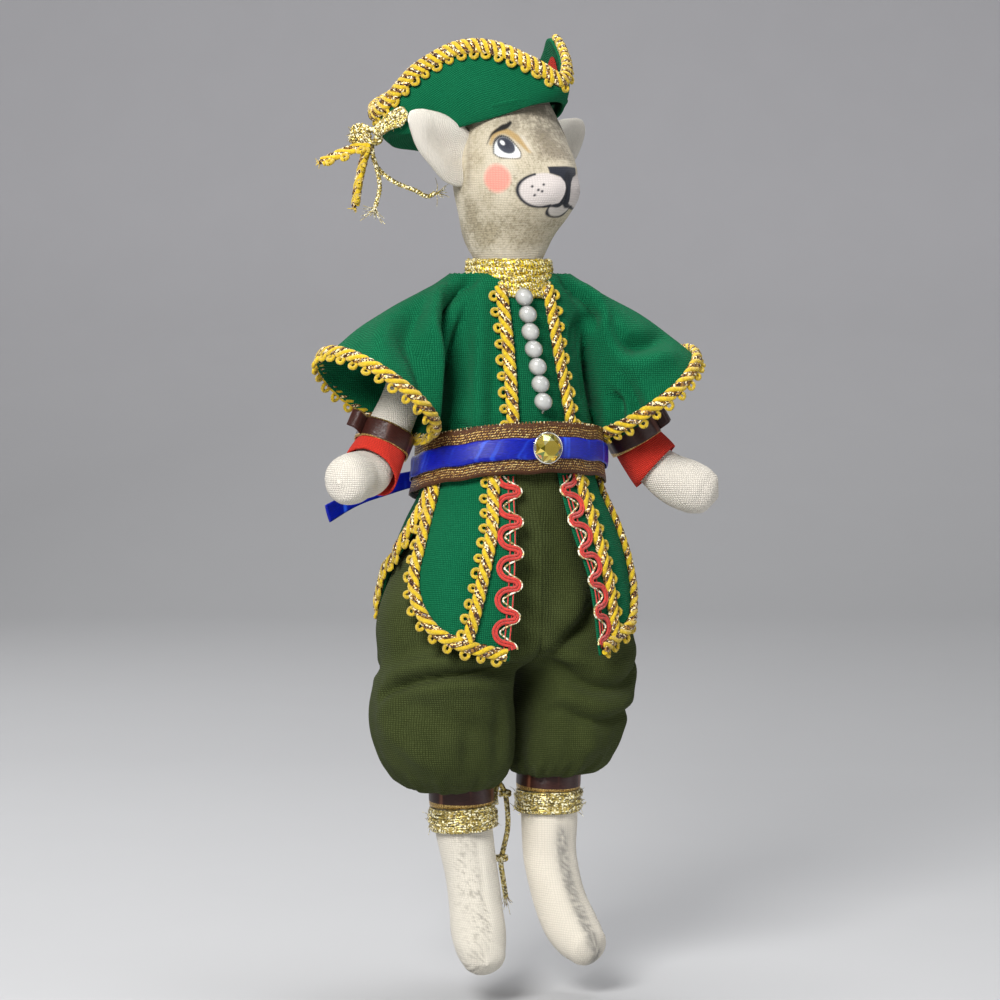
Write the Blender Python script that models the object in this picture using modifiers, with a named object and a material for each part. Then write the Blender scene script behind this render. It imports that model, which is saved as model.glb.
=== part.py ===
"""Stuffed cloth puppet: an animal in a cocked hat, a belted coat and baggy breeches.

The puppet is laid out in millimetres above the level of its toes, facing -Y, with its left hand at +X.
An empty at the nape carries the whole figure, so that the hanging point is the origin.
"""

from math import asin, atan2, cos, degrees, pi, radians, sin, sqrt

import bmesh
import bpy
import numpy as np
from mathutils import Vector

MM = 0.001
TAU = 2 * pi

# Driving dimensions, in millimetres above the toes
NAPE = (0.0, 10.4, 154.0)
BELT_Z = 112.0
BELT_HEIGHT = 9.6
BELT_TILT = 0.16
SHOULDER = (0.4, 143.5)
HIP = (0.0, 84.0)
COLLAR_Z = (151.6, 157.0)
HEAD_TURN = radians(17)
HAT_TURN = radians(8)
SKIRT_TOP_Z = 110.9
SKIRT_FRONT_Z = 68.0
SKIRT_SIDE_Z = 84.0
BREECHES_HEM_Z = 41.6

# Cloth and trim
CLOTH = 0.8
BRAID_WIDTH = 3.6
RED_BRAID_WIDTH = 4.2
BRAID_THICK = 0.9
BRAID_OUT = 1.2
RIBBON_THICK = 0.5
BELT_OUT = 2.5
SASH_OUT = 3.35
SASH_WIDTH = 4.4
PEARL_RADIUS = 1.85
PEARL_COUNT = 7
PEARL_PITCH = 4.03
PEARL_OUT = 3.0
THREAD_RADIUS = 0.5
THREAD_HOLE = 0.85

# Coat, as (height, half width, half depth in front, half depth behind, squareness)
COAT = [
    (68.0, 33.0, 23.4, 26.5, 2.4),
    (84.0, 30.6, 22.0, 24.3, 2.4),
    (92.0, 28.0, 20.6, 22.3, 2.3),
    (100.0, 24.3, 18.6, 19.5, 2.2),
    (106.5, 20.8, 16.4, 16.6, 2.1),
    (111.0, 19.4, 15.3, 15.3, 2.0),
    (120.0, 19.2, 15.3, 15.0, 2.0),
    (128.0, 17.4, 14.5, 13.8, 2.0),
    (136.0, 16.6, 13.0, 12.2, 2.0),
    (143.0, 16.4, 11.3, 11.0, 2.0),
    (149.0, 15.4, 9.6, 10.0, 2.0),
    (152.2, 11.6, 9.2, 9.4, 2.0),
    (153.6, 9.7, 9.1, 9.1, 2.0),
]
# Torso, as (height, half width, half depth)
TORSO = [
    (99.0, 7.0, 6.0),
    (101.0, 12.0, 9.5),
    (108.0, 16.0, 12.4),
    (119.0, 16.8, 13.2),
    (134.0, 14.6, 11.0),
    (144.0, 13.4, 9.2),
    (148.2, 10.8, 7.6),
    (149.9, 6.0, 4.5),
]
# Seat of the breeches, as (height, half width, half depth)
SEAT = [(95.4, 23.4, 17.0), (100.0, 21.2, 16.2), (105.0, 18.8, 14.8), (110.0, 17.9, 13.9)]
# Leg of the breeches, as (height, inner x, outer x, centre y, half depth)
BREECHES = [
    (BREECHES_HEM_Z, 2.6, 18.8, 2.5, 7.9),
    (44.0, 1.1, 22.2, 2.2, 10.6),
    (49.0, 0.7, 26.6, 1.2, 13.6),
    (57.0, 0.6, 29.9, 0.4, 15.4),
    (66.0, 0.7, 30.4, 0.0, 15.5),
    (73.0, 3.4, 30.0, 0.0, 15.0),
    (84.0, 3.7, 28.0, 0.0, 14.0),
    (89.0, 3.9, 25.8, 0.0, 12.8),
    (93.0, 4.6, 21.6, 0.0, 10.2),
    (96.0, 7.0, 16.0, 0.0, 5.8),
]
# Head, as (height, centre forward, half length in front, half length behind, half width, narrowing of the face)
HEAD = [
    (150.6, 0.0, 8.0, 8.0, 7.8, 0.0),
    (157.0, 0.0, 8.9, 9.0, 8.7, 0.0),
    (160.5, 0.0, 9.6, 10.4, 9.6, 0.0),
    (163.8, 0.4, 11.4, 11.6, 10.4, 0.04),
    (167.4, 0.8, 14.4, 12.6, 11.4, 0.14),
    (169.8, 1.0, 16.6, 13.0, 12.0, 0.24),
    (172.7, 1.0, 17.7, 13.4, 12.6, 0.30),
    (174.9, 1.0, 17.6, 13.4, 12.8, 0.31),
    (177.0, 1.0, 16.6, 13.4, 12.8, 0.28),
    (179.4, 0.8, 14.9, 13.2, 12.7, 0.20),
    (183.8, 0.4, 12.2, 13.0, 12.2, 0.06),
    (188.0, 0.0, 10.8, 12.0, 10.9, 0.0),
    (191.6, -0.4, 9.4, 10.4, 9.4, 0.0),
    (195.4, -0.6, 7.2, 7.4, 7.2, 0.0),
    (198.0, -0.6, 3.4, 3.4, 3.2, 0.0),
]
# Limbs, as (x, y, z, radius)
ARM = [
    (21.8, 0.4, 147.4, 1.6),
    (21.8, 0.4, 146.4, 3.4),
    (22.0, 0.4, 143.6, 4.3),
    (22.8, 0.3, 136.0, 4.5),
    (26.2, 0.0, 127.0, 4.4),
    (29.8, -0.4, 119.6, 4.3),
    (33.2, -1.8, 113.6, 4.3),
    (35.0, -3.0, 111.4, 4.5),
    (37.8, -5.0, 109.0, 5.7),
    (41.2, -7.8, 107.4, 6.0),
    (43.8, -9.9, 106.4, 4.7),
    (45.2, -11.2, 106.0, 1.8),
]
LEG = [
    (11.2, 0.0, 90.4, 2.0),
    (11.2, 0.0, 89.0, 4.4),
    (11.2, 0.0, 85.0, 5.9),
    (11.2, 0.6, 70.0, 5.9),
    (11.0, 1.8, 52.0, 6.0),
    (10.8, 2.6, 40.0, 6.1),
    (10.8, 2.6, 32.0, 6.3),
    (11.0, 1.6, 23.0, 6.3),
    (11.8, -1.6, 14.4, 6.2),
    (12.9, -6.4, 8.2, 6.2),
    (13.8, -9.8, 5.6, 5.2),
    (14.4, -11.8, 4.3, 2.6),
]
# Hat
HAT_BACK = 8.4
HAT_Z = 188.4
HAT_TILT = radians(13)
HAT_SIDE_RADIUS = 16.6
HAT_CORNER = 8.2
HAT_SIDE_HEIGHT = 18.2
HAT_CORNER_HEIGHT = 4.6
# Crown of the hat, as (height, centre forward, half length, half width)
CROWN = [
    (189.6, -0.6, 13.9, 11.2),
    (194.0, -0.8, 13.0, 10.8),
    (198.5, -1.8, 9.8, 8.8),
    (200.8, -2.4, 5.0, 4.8),
]


# ---------------------------------------------------------------- helpers


def clear_scene():
    for obj in list(bpy.data.objects):
        bpy.data.objects.remove(obj, do_unlink=True)


def collection(name):
    made = bpy.data.collections.new(name)
    bpy.context.scene.collection.children.link(made)
    return made


def material(name, colour, roughness=0.9, metallic=0.0):
    found = bpy.data.materials.get(name)
    if found:
        return found
    made = bpy.data.materials.new(name)
    made.use_nodes = True
    shader = made.node_tree.nodes["Principled BSDF"]
    shader.inputs["Base Color"].default_value = (*colour, 1)
    shader.inputs["Roughness"].default_value = roughness
    shader.inputs["Metallic"].default_value = metallic
    return made


def linen():
    return material("linen", (0.80, 0.76, 0.68))


def painted_linen():
    return material("painted_linen", (0.62, 0.58, 0.50))


def green_cotton():
    return material("green_cotton", (0.0, 0.20, 0.09))


def olive_cotton():
    return material("olive_cotton", (0.075, 0.09, 0.03))


def red_cotton():
    return material("red_cotton", (0.66, 0.04, 0.03))


def yellow_braid():
    return material("yellow_braid", (0.85, 0.62, 0.03), 0.6)


def red_braid():
    return material("red_braid", (0.75, 0.06, 0.04), 0.6)


def brown_ribbon():
    return material("brown_ribbon", (0.12, 0.04, 0.025), 0.35)


def blue_satin():
    return material("blue_satin", (0.01, 0.03, 0.45), 0.3)


def gold_cord():
    return material("gold_cord", (0.72, 0.58, 0.25), 0.35, 0.8)


def pearl():
    return material("pearl", (0.85, 0.85, 0.84), 0.2)


def gem():
    return material("gem", (0.85, 0.62, 0.08), 0.05)


def thread():
    return material("thread", (0.75, 0.73, 0.68))


def place(obj, group, parent, finish):
    group.objects.link(obj)
    obj.parent = parent
    if obj.type in ("MESH", "CURVE"):
        obj.data.materials.append(finish)
    return obj


def mesh_object(name, points, faces, group, parent, finish):
    mesh = bpy.data.meshes.new(name)
    mesh.from_pydata([Vector(p) * MM for p in points], [], faces)
    mesh.shade_smooth()
    return place(bpy.data.objects.new(name, mesh), group, parent, finish)


def loft(name, rings, group, parent, finish):
    """A closed solid through rings of points, listed from the top ring down and anticlockwise seen from above."""
    count = len(rings[0])
    faces = []
    for i in range(len(rings) - 1):
        for k in range(count):
            j = (k + 1) % count
            faces.append((i * count + k, (i + 1) * count + k, (i + 1) * count + j, i * count + j))
    last = (len(rings) - 1) * count
    faces.append(tuple(range(count)))
    faces.append(tuple(last + k for k in reversed(range(count))))
    points = [p for ring in rings for p in ring]
    return mesh_object(name, points, faces, group, parent, finish)


def sheet(name, rows, thick, group, parent, finish, closed=False, capped=False):
    """Cloth: an open grid of points, thickened evenly to both sides. A closed grid joins its row ends."""
    count = len(rows[0])
    faces = []
    for i in range(len(rows) - 1):
        for k in range(count if closed else count - 1):
            j = (k + 1) % count
            faces.append((i * count + k, i * count + j, (i + 1) * count + j, (i + 1) * count + k))
    if capped:
        last = (len(rows) - 1) * count
        faces.append(tuple(last + k for k in range(count)))
    obj = mesh_object(name, [p for row in rows for p in row], faces, group, parent, finish)
    solidify = obj.modifiers.new("Thickness", "SOLIDIFY")
    solidify.thickness = thick * MM
    solidify.offset = 0
    return obj


def tube(name, path, group, parent, finish, resolution=3):
    """A round limb or cord along (x, y, z, radius) points."""
    curve = bpy.data.curves.new(name, "CURVE")
    curve.dimensions = "3D"
    curve.bevel_depth = MM
    curve.bevel_resolution = resolution
    curve.use_fill_caps = True
    spline = curve.splines.new("POLY")
    spline.points.add(len(path) - 1)
    for point, (x, y, z, radius) in zip(spline.points, path):
        point.co = (x * MM, y * MM, z * MM, 1)
        point.radius = radius
    return place(bpy.data.objects.new(name, curve), group, parent, finish)


def tube_mesh(name, path, group, parent, finish, resolution=3):
    """The same limb as a mesh, so that it can be cut."""
    curve = tube(name + "_curve", path, group, parent, finish, resolution)
    bpy.context.view_layer.update()
    graph = bpy.context.evaluated_depsgraph_get()
    mesh = bpy.data.meshes.new_from_object(curve.evaluated_get(graph))
    bpy.data.objects.remove(curve, do_unlink=True)
    work = bmesh.new()
    work.from_mesh(mesh)
    bmesh.ops.remove_doubles(work, verts=work.verts, dist=0.01 * MM)
    bmesh.ops.recalc_face_normals(work, faces=work.faces)
    work.to_mesh(mesh)
    work.free()
    return place(bpy.data.objects.new(name, mesh), group, parent, finish)


def cylinder(name, start, end, radius, group, parent, finish, sides=12):
    """A round bar between two points."""
    start, end = Vector(start) * MM, Vector(end) * MM
    mesh = bpy.data.meshes.new(name)
    work = bmesh.new()
    bmesh.ops.create_cone(
        work,
        cap_ends=True,
        segments=sides,
        radius1=radius * MM,
        radius2=radius * MM,
        depth=(end - start).length,
    )
    work.to_mesh(mesh)
    work.free()
    obj = place(bpy.data.objects.new(name, mesh), group, parent, finish)
    obj.location = (start + end) / 2
    obj.rotation_mode = "QUATERNION"
    obj.rotation_quaternion = (end - start).to_track_quat("Z", "Y")
    return obj


def boolean(obj, other, operation):
    cut = obj.modifiers.new(operation.title(), "BOOLEAN")
    cut.operation = operation
    cut.object = other
    other.hide_render = True
    other.display_type = "WIRE"


def mix(a, b, t):
    return a + (b - a) * t


def between(table, z):
    """The row of a table at a height, straight between its stations."""
    heights = [row[0] for row in table]
    return [float(np.interp(z, heights, column)) for column in zip(*(row[1:] for row in table))]


def smooth_path(points, count):
    """count points along a smooth curve through the given ones (Catmull-Rom)."""
    points = [Vector(p) for p in points]
    ends = [2 * points[0] - points[1], *points, 2 * points[-1] - points[-2]]
    found = []
    for i in range(count):
        at = i * (len(points) - 1) / (count - 1)
        k = min(int(at), len(points) - 2)
        t = at - k
        a, b, c, d = ends[k : k + 4]
        found.append(
            0.5 * (2 * b + (c - a) * t + (2 * a - 5 * b + 4 * c - d) * t**2 + (3 * b - a - 3 * c + d) * t**3)
        )
    return found


def mirrored(path, side):
    """A limb's points for the puppet's left (side 1) or right (side -1)."""
    return [(side * p[0], *p[1:]) for p in path]


# ---------------------------------------------------------------- coat


def coat_point(angle, z, out=0.0):
    """A point of the coat at an angle from the front centre, positive to the puppet's left."""
    wide, front, back, power = between(COAT, z)
    s, c = sin(angle), cos(angle)
    depth = front if c > 0 else back
    x = (wide + out) * abs(s) ** (2 / power) * (1 if s > 0 else -1)
    y = -(depth + out) * abs(c) ** (2 / power) * (1 if c > 0 else -1)
    return Vector((x, y, z))


def coat_angle(x, z):
    """The angle of the coat's front at a distance from its centre line."""
    wide, _, _, power = between(COAT, z)
    return asin(min(1.0, x / wide) ** (power / 2))


def coat_strip(name, route, width, out, thick, group, parent, finish, closed=False):
    """A flat trim that follows (angle, z) points on the coat."""
    step = 0.4
    rows = [[], []]
    count = len(route)
    for i, (angle, z) in enumerate(route):
        here = coat_point(angle, z, out)
        after = route[(i + 1) % count] if closed or i + 1 < count else route[i]
        before = route[i - 1] if closed or i else route[i]
        along = coat_point(*after, out) - coat_point(*before, out)
        turn = radians(step)
        across = coat_point(angle + turn, z, out) - coat_point(angle - turn, z, out)
        up = coat_point(angle, z + step, out) - coat_point(angle, z - step, out)
        side = across.cross(up).cross(along).normalized()
        rows[0].append(here + side * width / 2)
        rows[1].append(here - side * width / 2)
    return sheet(name, rows, thick, group, parent, finish, closed)


def skirt_hem(angle, start, end, side_z, low_z):
    """Height of a skirt panel's lower edge: level, then rounded up to its side edge."""
    t = max(0.0, (abs(angle) - start) / (end - start))
    return side_z - (side_z - low_z) * sqrt(max(0.0, 1 - t * t))


FRONT_EDGE = [(SKIRT_FRONT_Z, 10.2), (SKIRT_TOP_Z, 4.6)]
BRAID_LINE = [(68.0, 18.6), (107.0, 11.4), (120.0, 8.2), (153.0, 5.3)]
FRONT_SIDE = (radians(82), radians(88))
BACK_SIDE = (radians(68), radians(87))
CORNER = radians(30)


def front_edge_angle(z):
    return coat_angle(between(FRONT_EDGE, z)[0], z)


def front_panel(side, group, parent):
    rows = []
    for v in np.linspace(0, 1, 9):
        row = []
        for u in np.linspace(0, 1, 10):
            outer = mix(FRONT_SIDE[1], FRONT_SIDE[0], v)
            inner = front_edge_angle(mix(SKIRT_TOP_Z, SKIRT_FRONT_Z, v))
            angle = mix(inner, outer, u)
            low = skirt_hem(angle, CORNER, FRONT_SIDE[0], SKIRT_SIDE_Z, SKIRT_FRONT_Z)
            row.append(coat_point(side * angle, mix(SKIRT_TOP_Z, low, v)))
        rows.append(row)
    name = "coat_skirt_front_" + ("left" if side > 0 else "right")
    return sheet(name, rows, CLOTH, group, parent, green_cotton())


def back_hem(angle):
    """Lower edge of the back panel, at an angle from the back centre."""
    return skirt_hem(angle, radians(20), BACK_SIDE[0], SKIRT_SIDE_Z, SKIRT_FRONT_Z + 3)


def back_panel(group, parent):
    rows = []
    for v in np.linspace(0, 1, 9):
        half = mix(BACK_SIDE[1], BACK_SIDE[0], v)
        row = []
        for u in np.linspace(-1, 1, 17):
            row.append(coat_point(pi + u * half, mix(SKIRT_TOP_Z, back_hem(u * half), v)))
        rows.append(row)
    return sheet("coat_skirt_back", rows, CLOTH, group, parent, green_cotton())


def front_hem_route():
    """From the belt down the side slit, round the corner and along the front hem, 2 mm inside the edge."""
    inset, lift = radians(4), 1.6
    side = FRONT_SIDE[0] - inset
    slit = [(mix(FRONT_SIDE[1] - inset, side, t), mix(105.0, 87.0, t)) for t in np.linspace(0, 1, 8)]
    corner = []
    for t in np.linspace(0.97, 0.0, 11):
        angle = mix(CORNER, side, t)
        corner.append((angle, skirt_hem(angle, CORNER, side, SKIRT_SIDE_Z, SKIRT_FRONT_Z + lift)))
    last = front_edge_angle(SKIRT_FRONT_Z) + radians(1)
    hem = [(mix(CORNER, last, t), SKIRT_FRONT_Z + lift) for t in (0.5, 1.0)]
    return slit + corner + hem


def back_hem_route():
    inset, lift = radians(4), 1.6
    side = BACK_SIDE[0] - inset
    slit = [(mix(BACK_SIDE[1] - inset, side, t), mix(105.0, 87.0, t)) for t in np.linspace(0, 1, 8)]
    corner = []
    for t in np.linspace(0.97, 0.0, 13):
        angle = mix(0, side, t)
        low = skirt_hem(angle, radians(20), side, SKIRT_SIDE_Z, SKIRT_FRONT_Z + 3 + lift)
        corner.append((angle, low))
    half = slit + corner
    return [(pi - a, z) for a, z in half] + [(pi + a, z) for a, z in reversed(half[:-1])]


def bodice(group, parent, cutters):
    rows = []
    heights = (111.5, 116, 120, 124, 128, 132, 136, 143, 147, 149, 150.6, 152.2, 153.6)
    for z in heights:
        rows.append([coat_point(-TAU * k / 36, z) for k in range(36)])
    body = sheet("coat_bodice", rows, CLOTH, group, parent, green_cotton(), closed=True)
    y, z = SHOULDER
    holes = cylinder("armholes", (-30, y, z), (30, y, z), 6.6, cutters, parent, thread(), 20)
    boolean(body, holes, "DIFFERENCE")
    return body


def belt(group, parent):
    def ring(offset):
        route = []
        for k in range(30):
            angle = TAU * k / 30
            y = coat_point(angle, BELT_Z).y
            route.append((angle, BELT_Z - BELT_TILT * y + offset))
        return route

    coat_belt("belt_ribbon", ring, BELT_HEIGHT, BELT_OUT, brown_ribbon(), group, parent)
    coat_belt("belt_sash", ring, SASH_WIDTH, SASH_OUT, blue_satin(), group, parent)


def coat_belt(name, ring, width, out, finish, group, parent):
    """A band round the waist, straight up and down, as wide as the coat at the belt's height."""
    rows = []
    for offset in np.linspace(-width / 2, width / 2, 5):
        row = []
        for angle, z in ring(offset):
            at = coat_point(angle, min(BELT_Z, z + 1), out)
            row.append(Vector((at.x, at.y, z)))
        rows.append(row)
    return sheet(name, rows, RIBBON_THICK, group, parent, finish, closed=True)


def pearls(group, parent):
    """Beads turned about their own hole, strung down the front of the bodice."""
    top = Vector((0, -between(COAT, 148.6)[1] - PEARL_OUT, 148.6))
    low_z = 126.4
    low = Vector((0, -between(COAT, low_z)[1] - PEARL_OUT, low_z))
    along = (low - top).normalized()
    hole = 0.6
    reach = asin(hole / PEARL_RADIUS)
    for i in range(PEARL_COUNT):
        mesh = bpy.data.meshes.new("pearl")
        arc = [mix(reach, pi - reach, t) for t in np.linspace(0, 1, 8)]
        points = [(PEARL_RADIUS * sin(a) * MM, 0, PEARL_RADIUS * cos(a) * MM) for a in arc]
        count = len(points)
        mesh.from_pydata(points, [(k, (k + 1) % count) for k in range(count)], [])
        obj = place(bpy.data.objects.new(f"pearl_{i + 1}", mesh), group, parent, pearl())
        turn = obj.modifiers.new("Turn", "SCREW")
        turn.steps = turn.render_steps = 12
        turn.use_merge_vertices = True
        turn.merge_threshold = 0.00001
        obj.location = (top + along * PEARL_PITCH * i) * MM
        obj.rotation_mode = "QUATERNION"
        obj.rotation_quaternion = (-along).to_track_quat("Z", "Y")
    end = top + along * PEARL_PITCH * (PEARL_COUNT - 1)
    string = [top - along * 3, mix(top, end, 0.5), end + along * 2.6]
    tube("pearl_thread", [(*p, 0.25) for p in string], group, parent, thread(), 1)


def belt_gem(group, parent):
    """A flat-backed stone, turned."""
    z = BELT_Z + BELT_TILT * between(COAT, BELT_Z)[1]
    y = -between(COAT, BELT_Z)[1]
    mesh = bpy.data.meshes.new("belt_gem")
    profile = [(0.0, 2.4), (1.8, 2.3), (2.9, 1.3), (3.25, 0.0), (0.0, 0.0)]
    mesh.from_pydata([(x * MM, 0, h * MM) for x, h in profile], [(k, k + 1) for k in range(4)], [])
    obj = place(bpy.data.objects.new("belt_gem", mesh), group, parent, gem())
    turn = obj.modifiers.new("Turn", "SCREW")
    turn.steps = turn.render_steps = 10
    turn.use_merge_vertices = True
    turn.merge_threshold = 0.00001
    obj.location = Vector((0, y - 3.95, z)) * MM
    obj.rotation_euler = (radians(90), 0, 0)


def sash_end(group, parent):
    """The sash is knotted behind, and one end sticks out past the right hip."""
    y = between(COAT, BELT_Z)[2] + SASH_OUT + 2.8
    z = BELT_Z - BELT_TILT * between(COAT, BELT_Z)[2]
    mesh = bpy.data.meshes.new("sash_knot")
    work = bmesh.new()
    bmesh.ops.create_uvsphere(work, u_segments=12, v_segments=7, radius=1.0 * MM)
    bmesh.ops.scale(work, verts=work.verts, vec=(3.4, 2.0, 2.8))
    work.to_mesh(mesh)
    work.free()
    knot = place(bpy.data.objects.new("sash_knot", mesh), group, parent, blue_satin())
    knot.location = Vector((0, y, z)) * MM
    route = smooth_path(SASH_TAIL, 14)
    half = SASH_WIDTH / 2
    rows = [[p + Vector((0, 0, half)) for p in route], [p - Vector((0, 0, half)) for p in route]]
    sheet("sash_tail", rows, RIBBON_THICK, group, parent, blue_satin())


SASH_TAIL = [(-3.8, 20.6, 109.4), (-12.0, 22.6, 108.6), (-23.0, 22.8, 105.2), (-36.0, 19.0, 99.8)]


# ---------------------------------------------------------------- trunk and breeches


def ring(z, wide, deep, count, y=0.0, x=0.0):
    return [
        Vector((x + wide * sin(TAU * k / count), y - deep * cos(TAU * k / count), z)) for k in range(count)
    ]


def torso(group, parent, cutters):
    rings = [ring(z, wide, deep, 20) for z, wide, deep in reversed(TORSO)]
    body = loft("torso_body", rings, group, parent, linen())
    hip_y, hip_z = HIP
    tab_rings = [ring(z, 2.7, 5.0, 12, hip_y) for z in (102.0, 80.0)]
    tab = loft("torso_tab", tab_rings, cutters, parent, linen())
    boolean(body, tab, "UNION")
    shoulder_y, shoulder_z = SHOULDER
    for name, y, z in (("shoulder_hole", shoulder_y, shoulder_z), ("hip_hole", hip_y, hip_z)):
        hole = cylinder(name, (-30, y, z), (30, y, z), THREAD_HOLE, cutters, parent, thread(), 10)
        boolean(body, hole, "DIFFERENCE")


def joint_thread(name, at, reach, group, parent):
    """The thread that two limbs turn on, with a flat knot outside each of them."""
    y, z = at
    knot = 1.7
    ends = [(-reach - 1.2, knot), (-reach, knot), (-reach, THREAD_RADIUS)]
    ends += [(reach, THREAD_RADIUS), (reach, knot), (reach + 1.2, knot)]
    mesh = bpy.data.meshes.new(name)
    profile = [(0.0, ends[0][0])] + [(r, x) for x, r in ends] + [(0.0, ends[-1][0])]
    points = [(r * MM, 0, h * MM) for r, h in reversed(profile)]
    mesh.from_pydata(points, [(k, k + 1) for k in range(len(points) - 1)], [])
    obj = place(bpy.data.objects.new(name, mesh), group, parent, thread())
    turn = obj.modifiers.new("Turn", "SCREW")
    turn.steps = turn.render_steps = 10
    turn.use_merge_vertices = True
    turn.merge_threshold = 0.00001
    obj.location = Vector((0, y, z)) * MM
    obj.rotation_euler = (0, radians(90), 0)


def seat(group, parent):
    rows = [[p for p in ring(z, wide, deep, 28)] for z, wide, deep in SEAT]
    sheet("breeches_seat", rows, 1.0, group, parent, olive_cotton(), closed=True)


def breeches_leg(side, group, parent, cutters):
    rows = []
    for z, inner, outer, y, deep in BREECHES:
        middle, wide = (inner + outer) / 2, (outer - inner) / 2
        points = ring(z, wide, deep, 20, y, middle)
        rows.append([Vector((side * p.x, p.y, p.z)) for p in points])
    name = "breeches_leg_" + ("left" if side > 0 else "right")
    leg = sheet(name, rows, 1.0, group, parent, olive_cotton(), closed=True, capped=True)
    y, z = HIP
    slot = cylinder(name + "_slot", (0, y, z), (side * 8, y, z), 2.2, cutters, parent, thread(), 12)
    boolean(leg, slot, "DIFFERENCE")


# ---------------------------------------------------------------- limbs


def limb(name, path, at, group, parent, cutters, count):
    """A stuffed limb with the hole of its joint thread."""
    route = smooth_path([p[:3] for p in path], count)
    radii = np.interp(np.linspace(0, len(path) - 1, count), range(len(path)), [p[3] for p in path])
    made = tube_mesh(name, [(*p, float(r)) for p, r in zip(route, radii)], group, parent, linen(), 3)
    y, z = at
    x = path[0][0]
    hole = cylinder(name + "_hole", (x - 9, y, z), (x + 9, y, z), THREAD_HOLE, cutters, parent, thread(), 10)
    boolean(made, hole, "DIFFERENCE")


def along_limb(path, z):
    """The centre of a limb at a height, and its direction."""
    route = smooth_path([p[:3] for p in path], 60)
    heights = [p.z for p in reversed(route)]
    xs, ys = ([p[k] for p in reversed(route)] for k in (0, 1))

    def at(h):
        return Vector((float(np.interp(h, heights, xs)), float(np.interp(h, heights, ys)), h))

    return at(z), (at(z - 1) - at(z + 1)).normalized()


def band(name, path, top, bottom, inner, outer, group, parent, finish):
    """A ring of cloth or cord round a limb, from the height top to bottom."""
    rows = []
    start, first = along_limb(path, top)
    end, second = along_limb(path, bottom)
    radius, thick = (inner + outer) / 2, outer - inner
    for centre, along in ((start, first), (end, second)):
        across = along.cross(Vector((0, 1, 0))).normalized()
        other = along.cross(across)
        angles = [TAU * k / 18 for k in range(18)]
        rows.append([centre + (across * cos(a) + other * sin(a)) * radius for a in angles])
    return sheet(name, rows, thick, group, parent, finish, closed=True)


def sleeve_point(side, along, angle, out=0.0):
    """The bell sleeve, from its armhole (along 0) to its hem (along 1); angle 0 is the shoulder line."""
    armhole = Vector((17.9, 0.3 - 8.3 * sin(angle), 143.6 + 8.0 * cos(angle)))
    middle = Vector((33.5, -2.5, 127.4))
    major, minor = Vector((10.9, 2.5, 8.7)), Vector((0, -15.4, 1.5))
    hem = middle + major * cos(angle) + minor * sin(angle)
    swell = 1.4 * sin(pi * along) * (0.5 + 0.5 * cos(angle))
    point = armhole.lerp(hem, along) + Vector((0.5, 0, 0.9)) * swell
    if out:
        centre = Vector((17.9, 0.3, 143.6)).lerp(middle, along)
        point += (point - centre).normalized() * out
    return Vector((side * point.x, point.y, point.z))


def sleeve(side, group, parent):
    name = "left" if side > 0 else "right"
    rows = []
    for t in np.linspace(0, 1, 7):
        rows.append([sleeve_point(side, t, TAU * k / 24) for k in range(24)])
    sheet("sleeve_" + name, rows, CLOTH, group, parent, green_cotton(), closed=True)
    rows = []
    for t in (0.86, 1.0):
        rows.append([sleeve_point(side, t, TAU * k / 30, BRAID_OUT) for k in range(30)])
    sheet("sleeve_braid_" + name, rows, BRAID_THICK, group, parent, yellow_braid(), closed=True)


def arm(side, group, root, cutters):
    name = "left" if side > 0 else "right"
    path = mirrored(ARM, side)
    limb("arm_" + name, path, SHOULDER, group, root, cutters, 18)
    band("cuff_" + name, path, 116.2, 112.4, 4.8, 5.6, group, root, red_cotton())
    band("wrist_ribbon_" + name, path, 121.2, 116.9, 5.0, 5.9, group, root, brown_ribbon())
    sleeve(side, group, root)


def leg(side, group, root, cutters):
    name = "left" if side > 0 else "right"
    path = mirrored(LEG, side)
    limb("leg_" + name, path, HIP, group, root, cutters, 20)
    band("boot_ribbon_" + name, path, 41.0, 36.9, 6.6, 7.2, group, root, brown_ribbon())
    band("boot_cord_" + name, path, 36.5, 31.4, 6.7, 7.9, group, root, gold_cord())
    breeches_leg(side, group, root, cutters)


# ---------------------------------------------------------------- head and hat


def head_ring(z, forward, front, back, wide, narrow, count=24):
    """An egg-shaped section, narrower towards the muzzle."""
    points = []
    for k in range(count):
        a = TAU * k / count
        long = front if cos(a) > 0 else back
        across = wide * (1 - narrow * max(0.0, cos(a)) ** 2)
        points.append(Vector((across * sin(a), -forward - long * cos(a), z)))
    return points


def head(group, parent):
    rings = [head_ring(*row) for row in reversed(HEAD)]
    loft("head", rings, group, parent, painted_linen())


def ear(side, group, parent):
    """A stuffed leaf: rings from its root at the side of the head out to its tip."""
    stations = [(0.0, 179.4, 7.4, 1.4), (0.3, 180.0, 7.8, 2.1), (0.6, 181.4, 6.4, 2.1), (0.85, 183.4, 4.2, 1.6)]
    stations.append((1.0, 185.0, 1.6, 0.7))
    root_x, reach, sweep = 12.9, 13.8, 1.6
    rings = []
    for t, middle, high, thick in stations:
        ring_points = []
        for k in range(14):
            a = TAU * k / 14 * side
            x, y = side * (root_x + reach * t), 2.0 + sweep * t + thick * sin(a)
            ring_points.append(Vector((x, y, middle + high * cos(a))))
        rings.append(ring_points)
    loft("ear_" + ("left" if side > 0 else "right"), rings, group, parent, linen())


def hat_radius(angle):
    return HAT_SIDE_RADIUS + HAT_CORNER * abs(cos(1.5 * angle)) ** 2.5


def hat_height(angle):
    side = 1 - abs(cos(1.5 * angle)) ** 2.2
    return mix(HAT_CORNER_HEIGHT, HAT_SIDE_HEIGHT, side)


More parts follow.
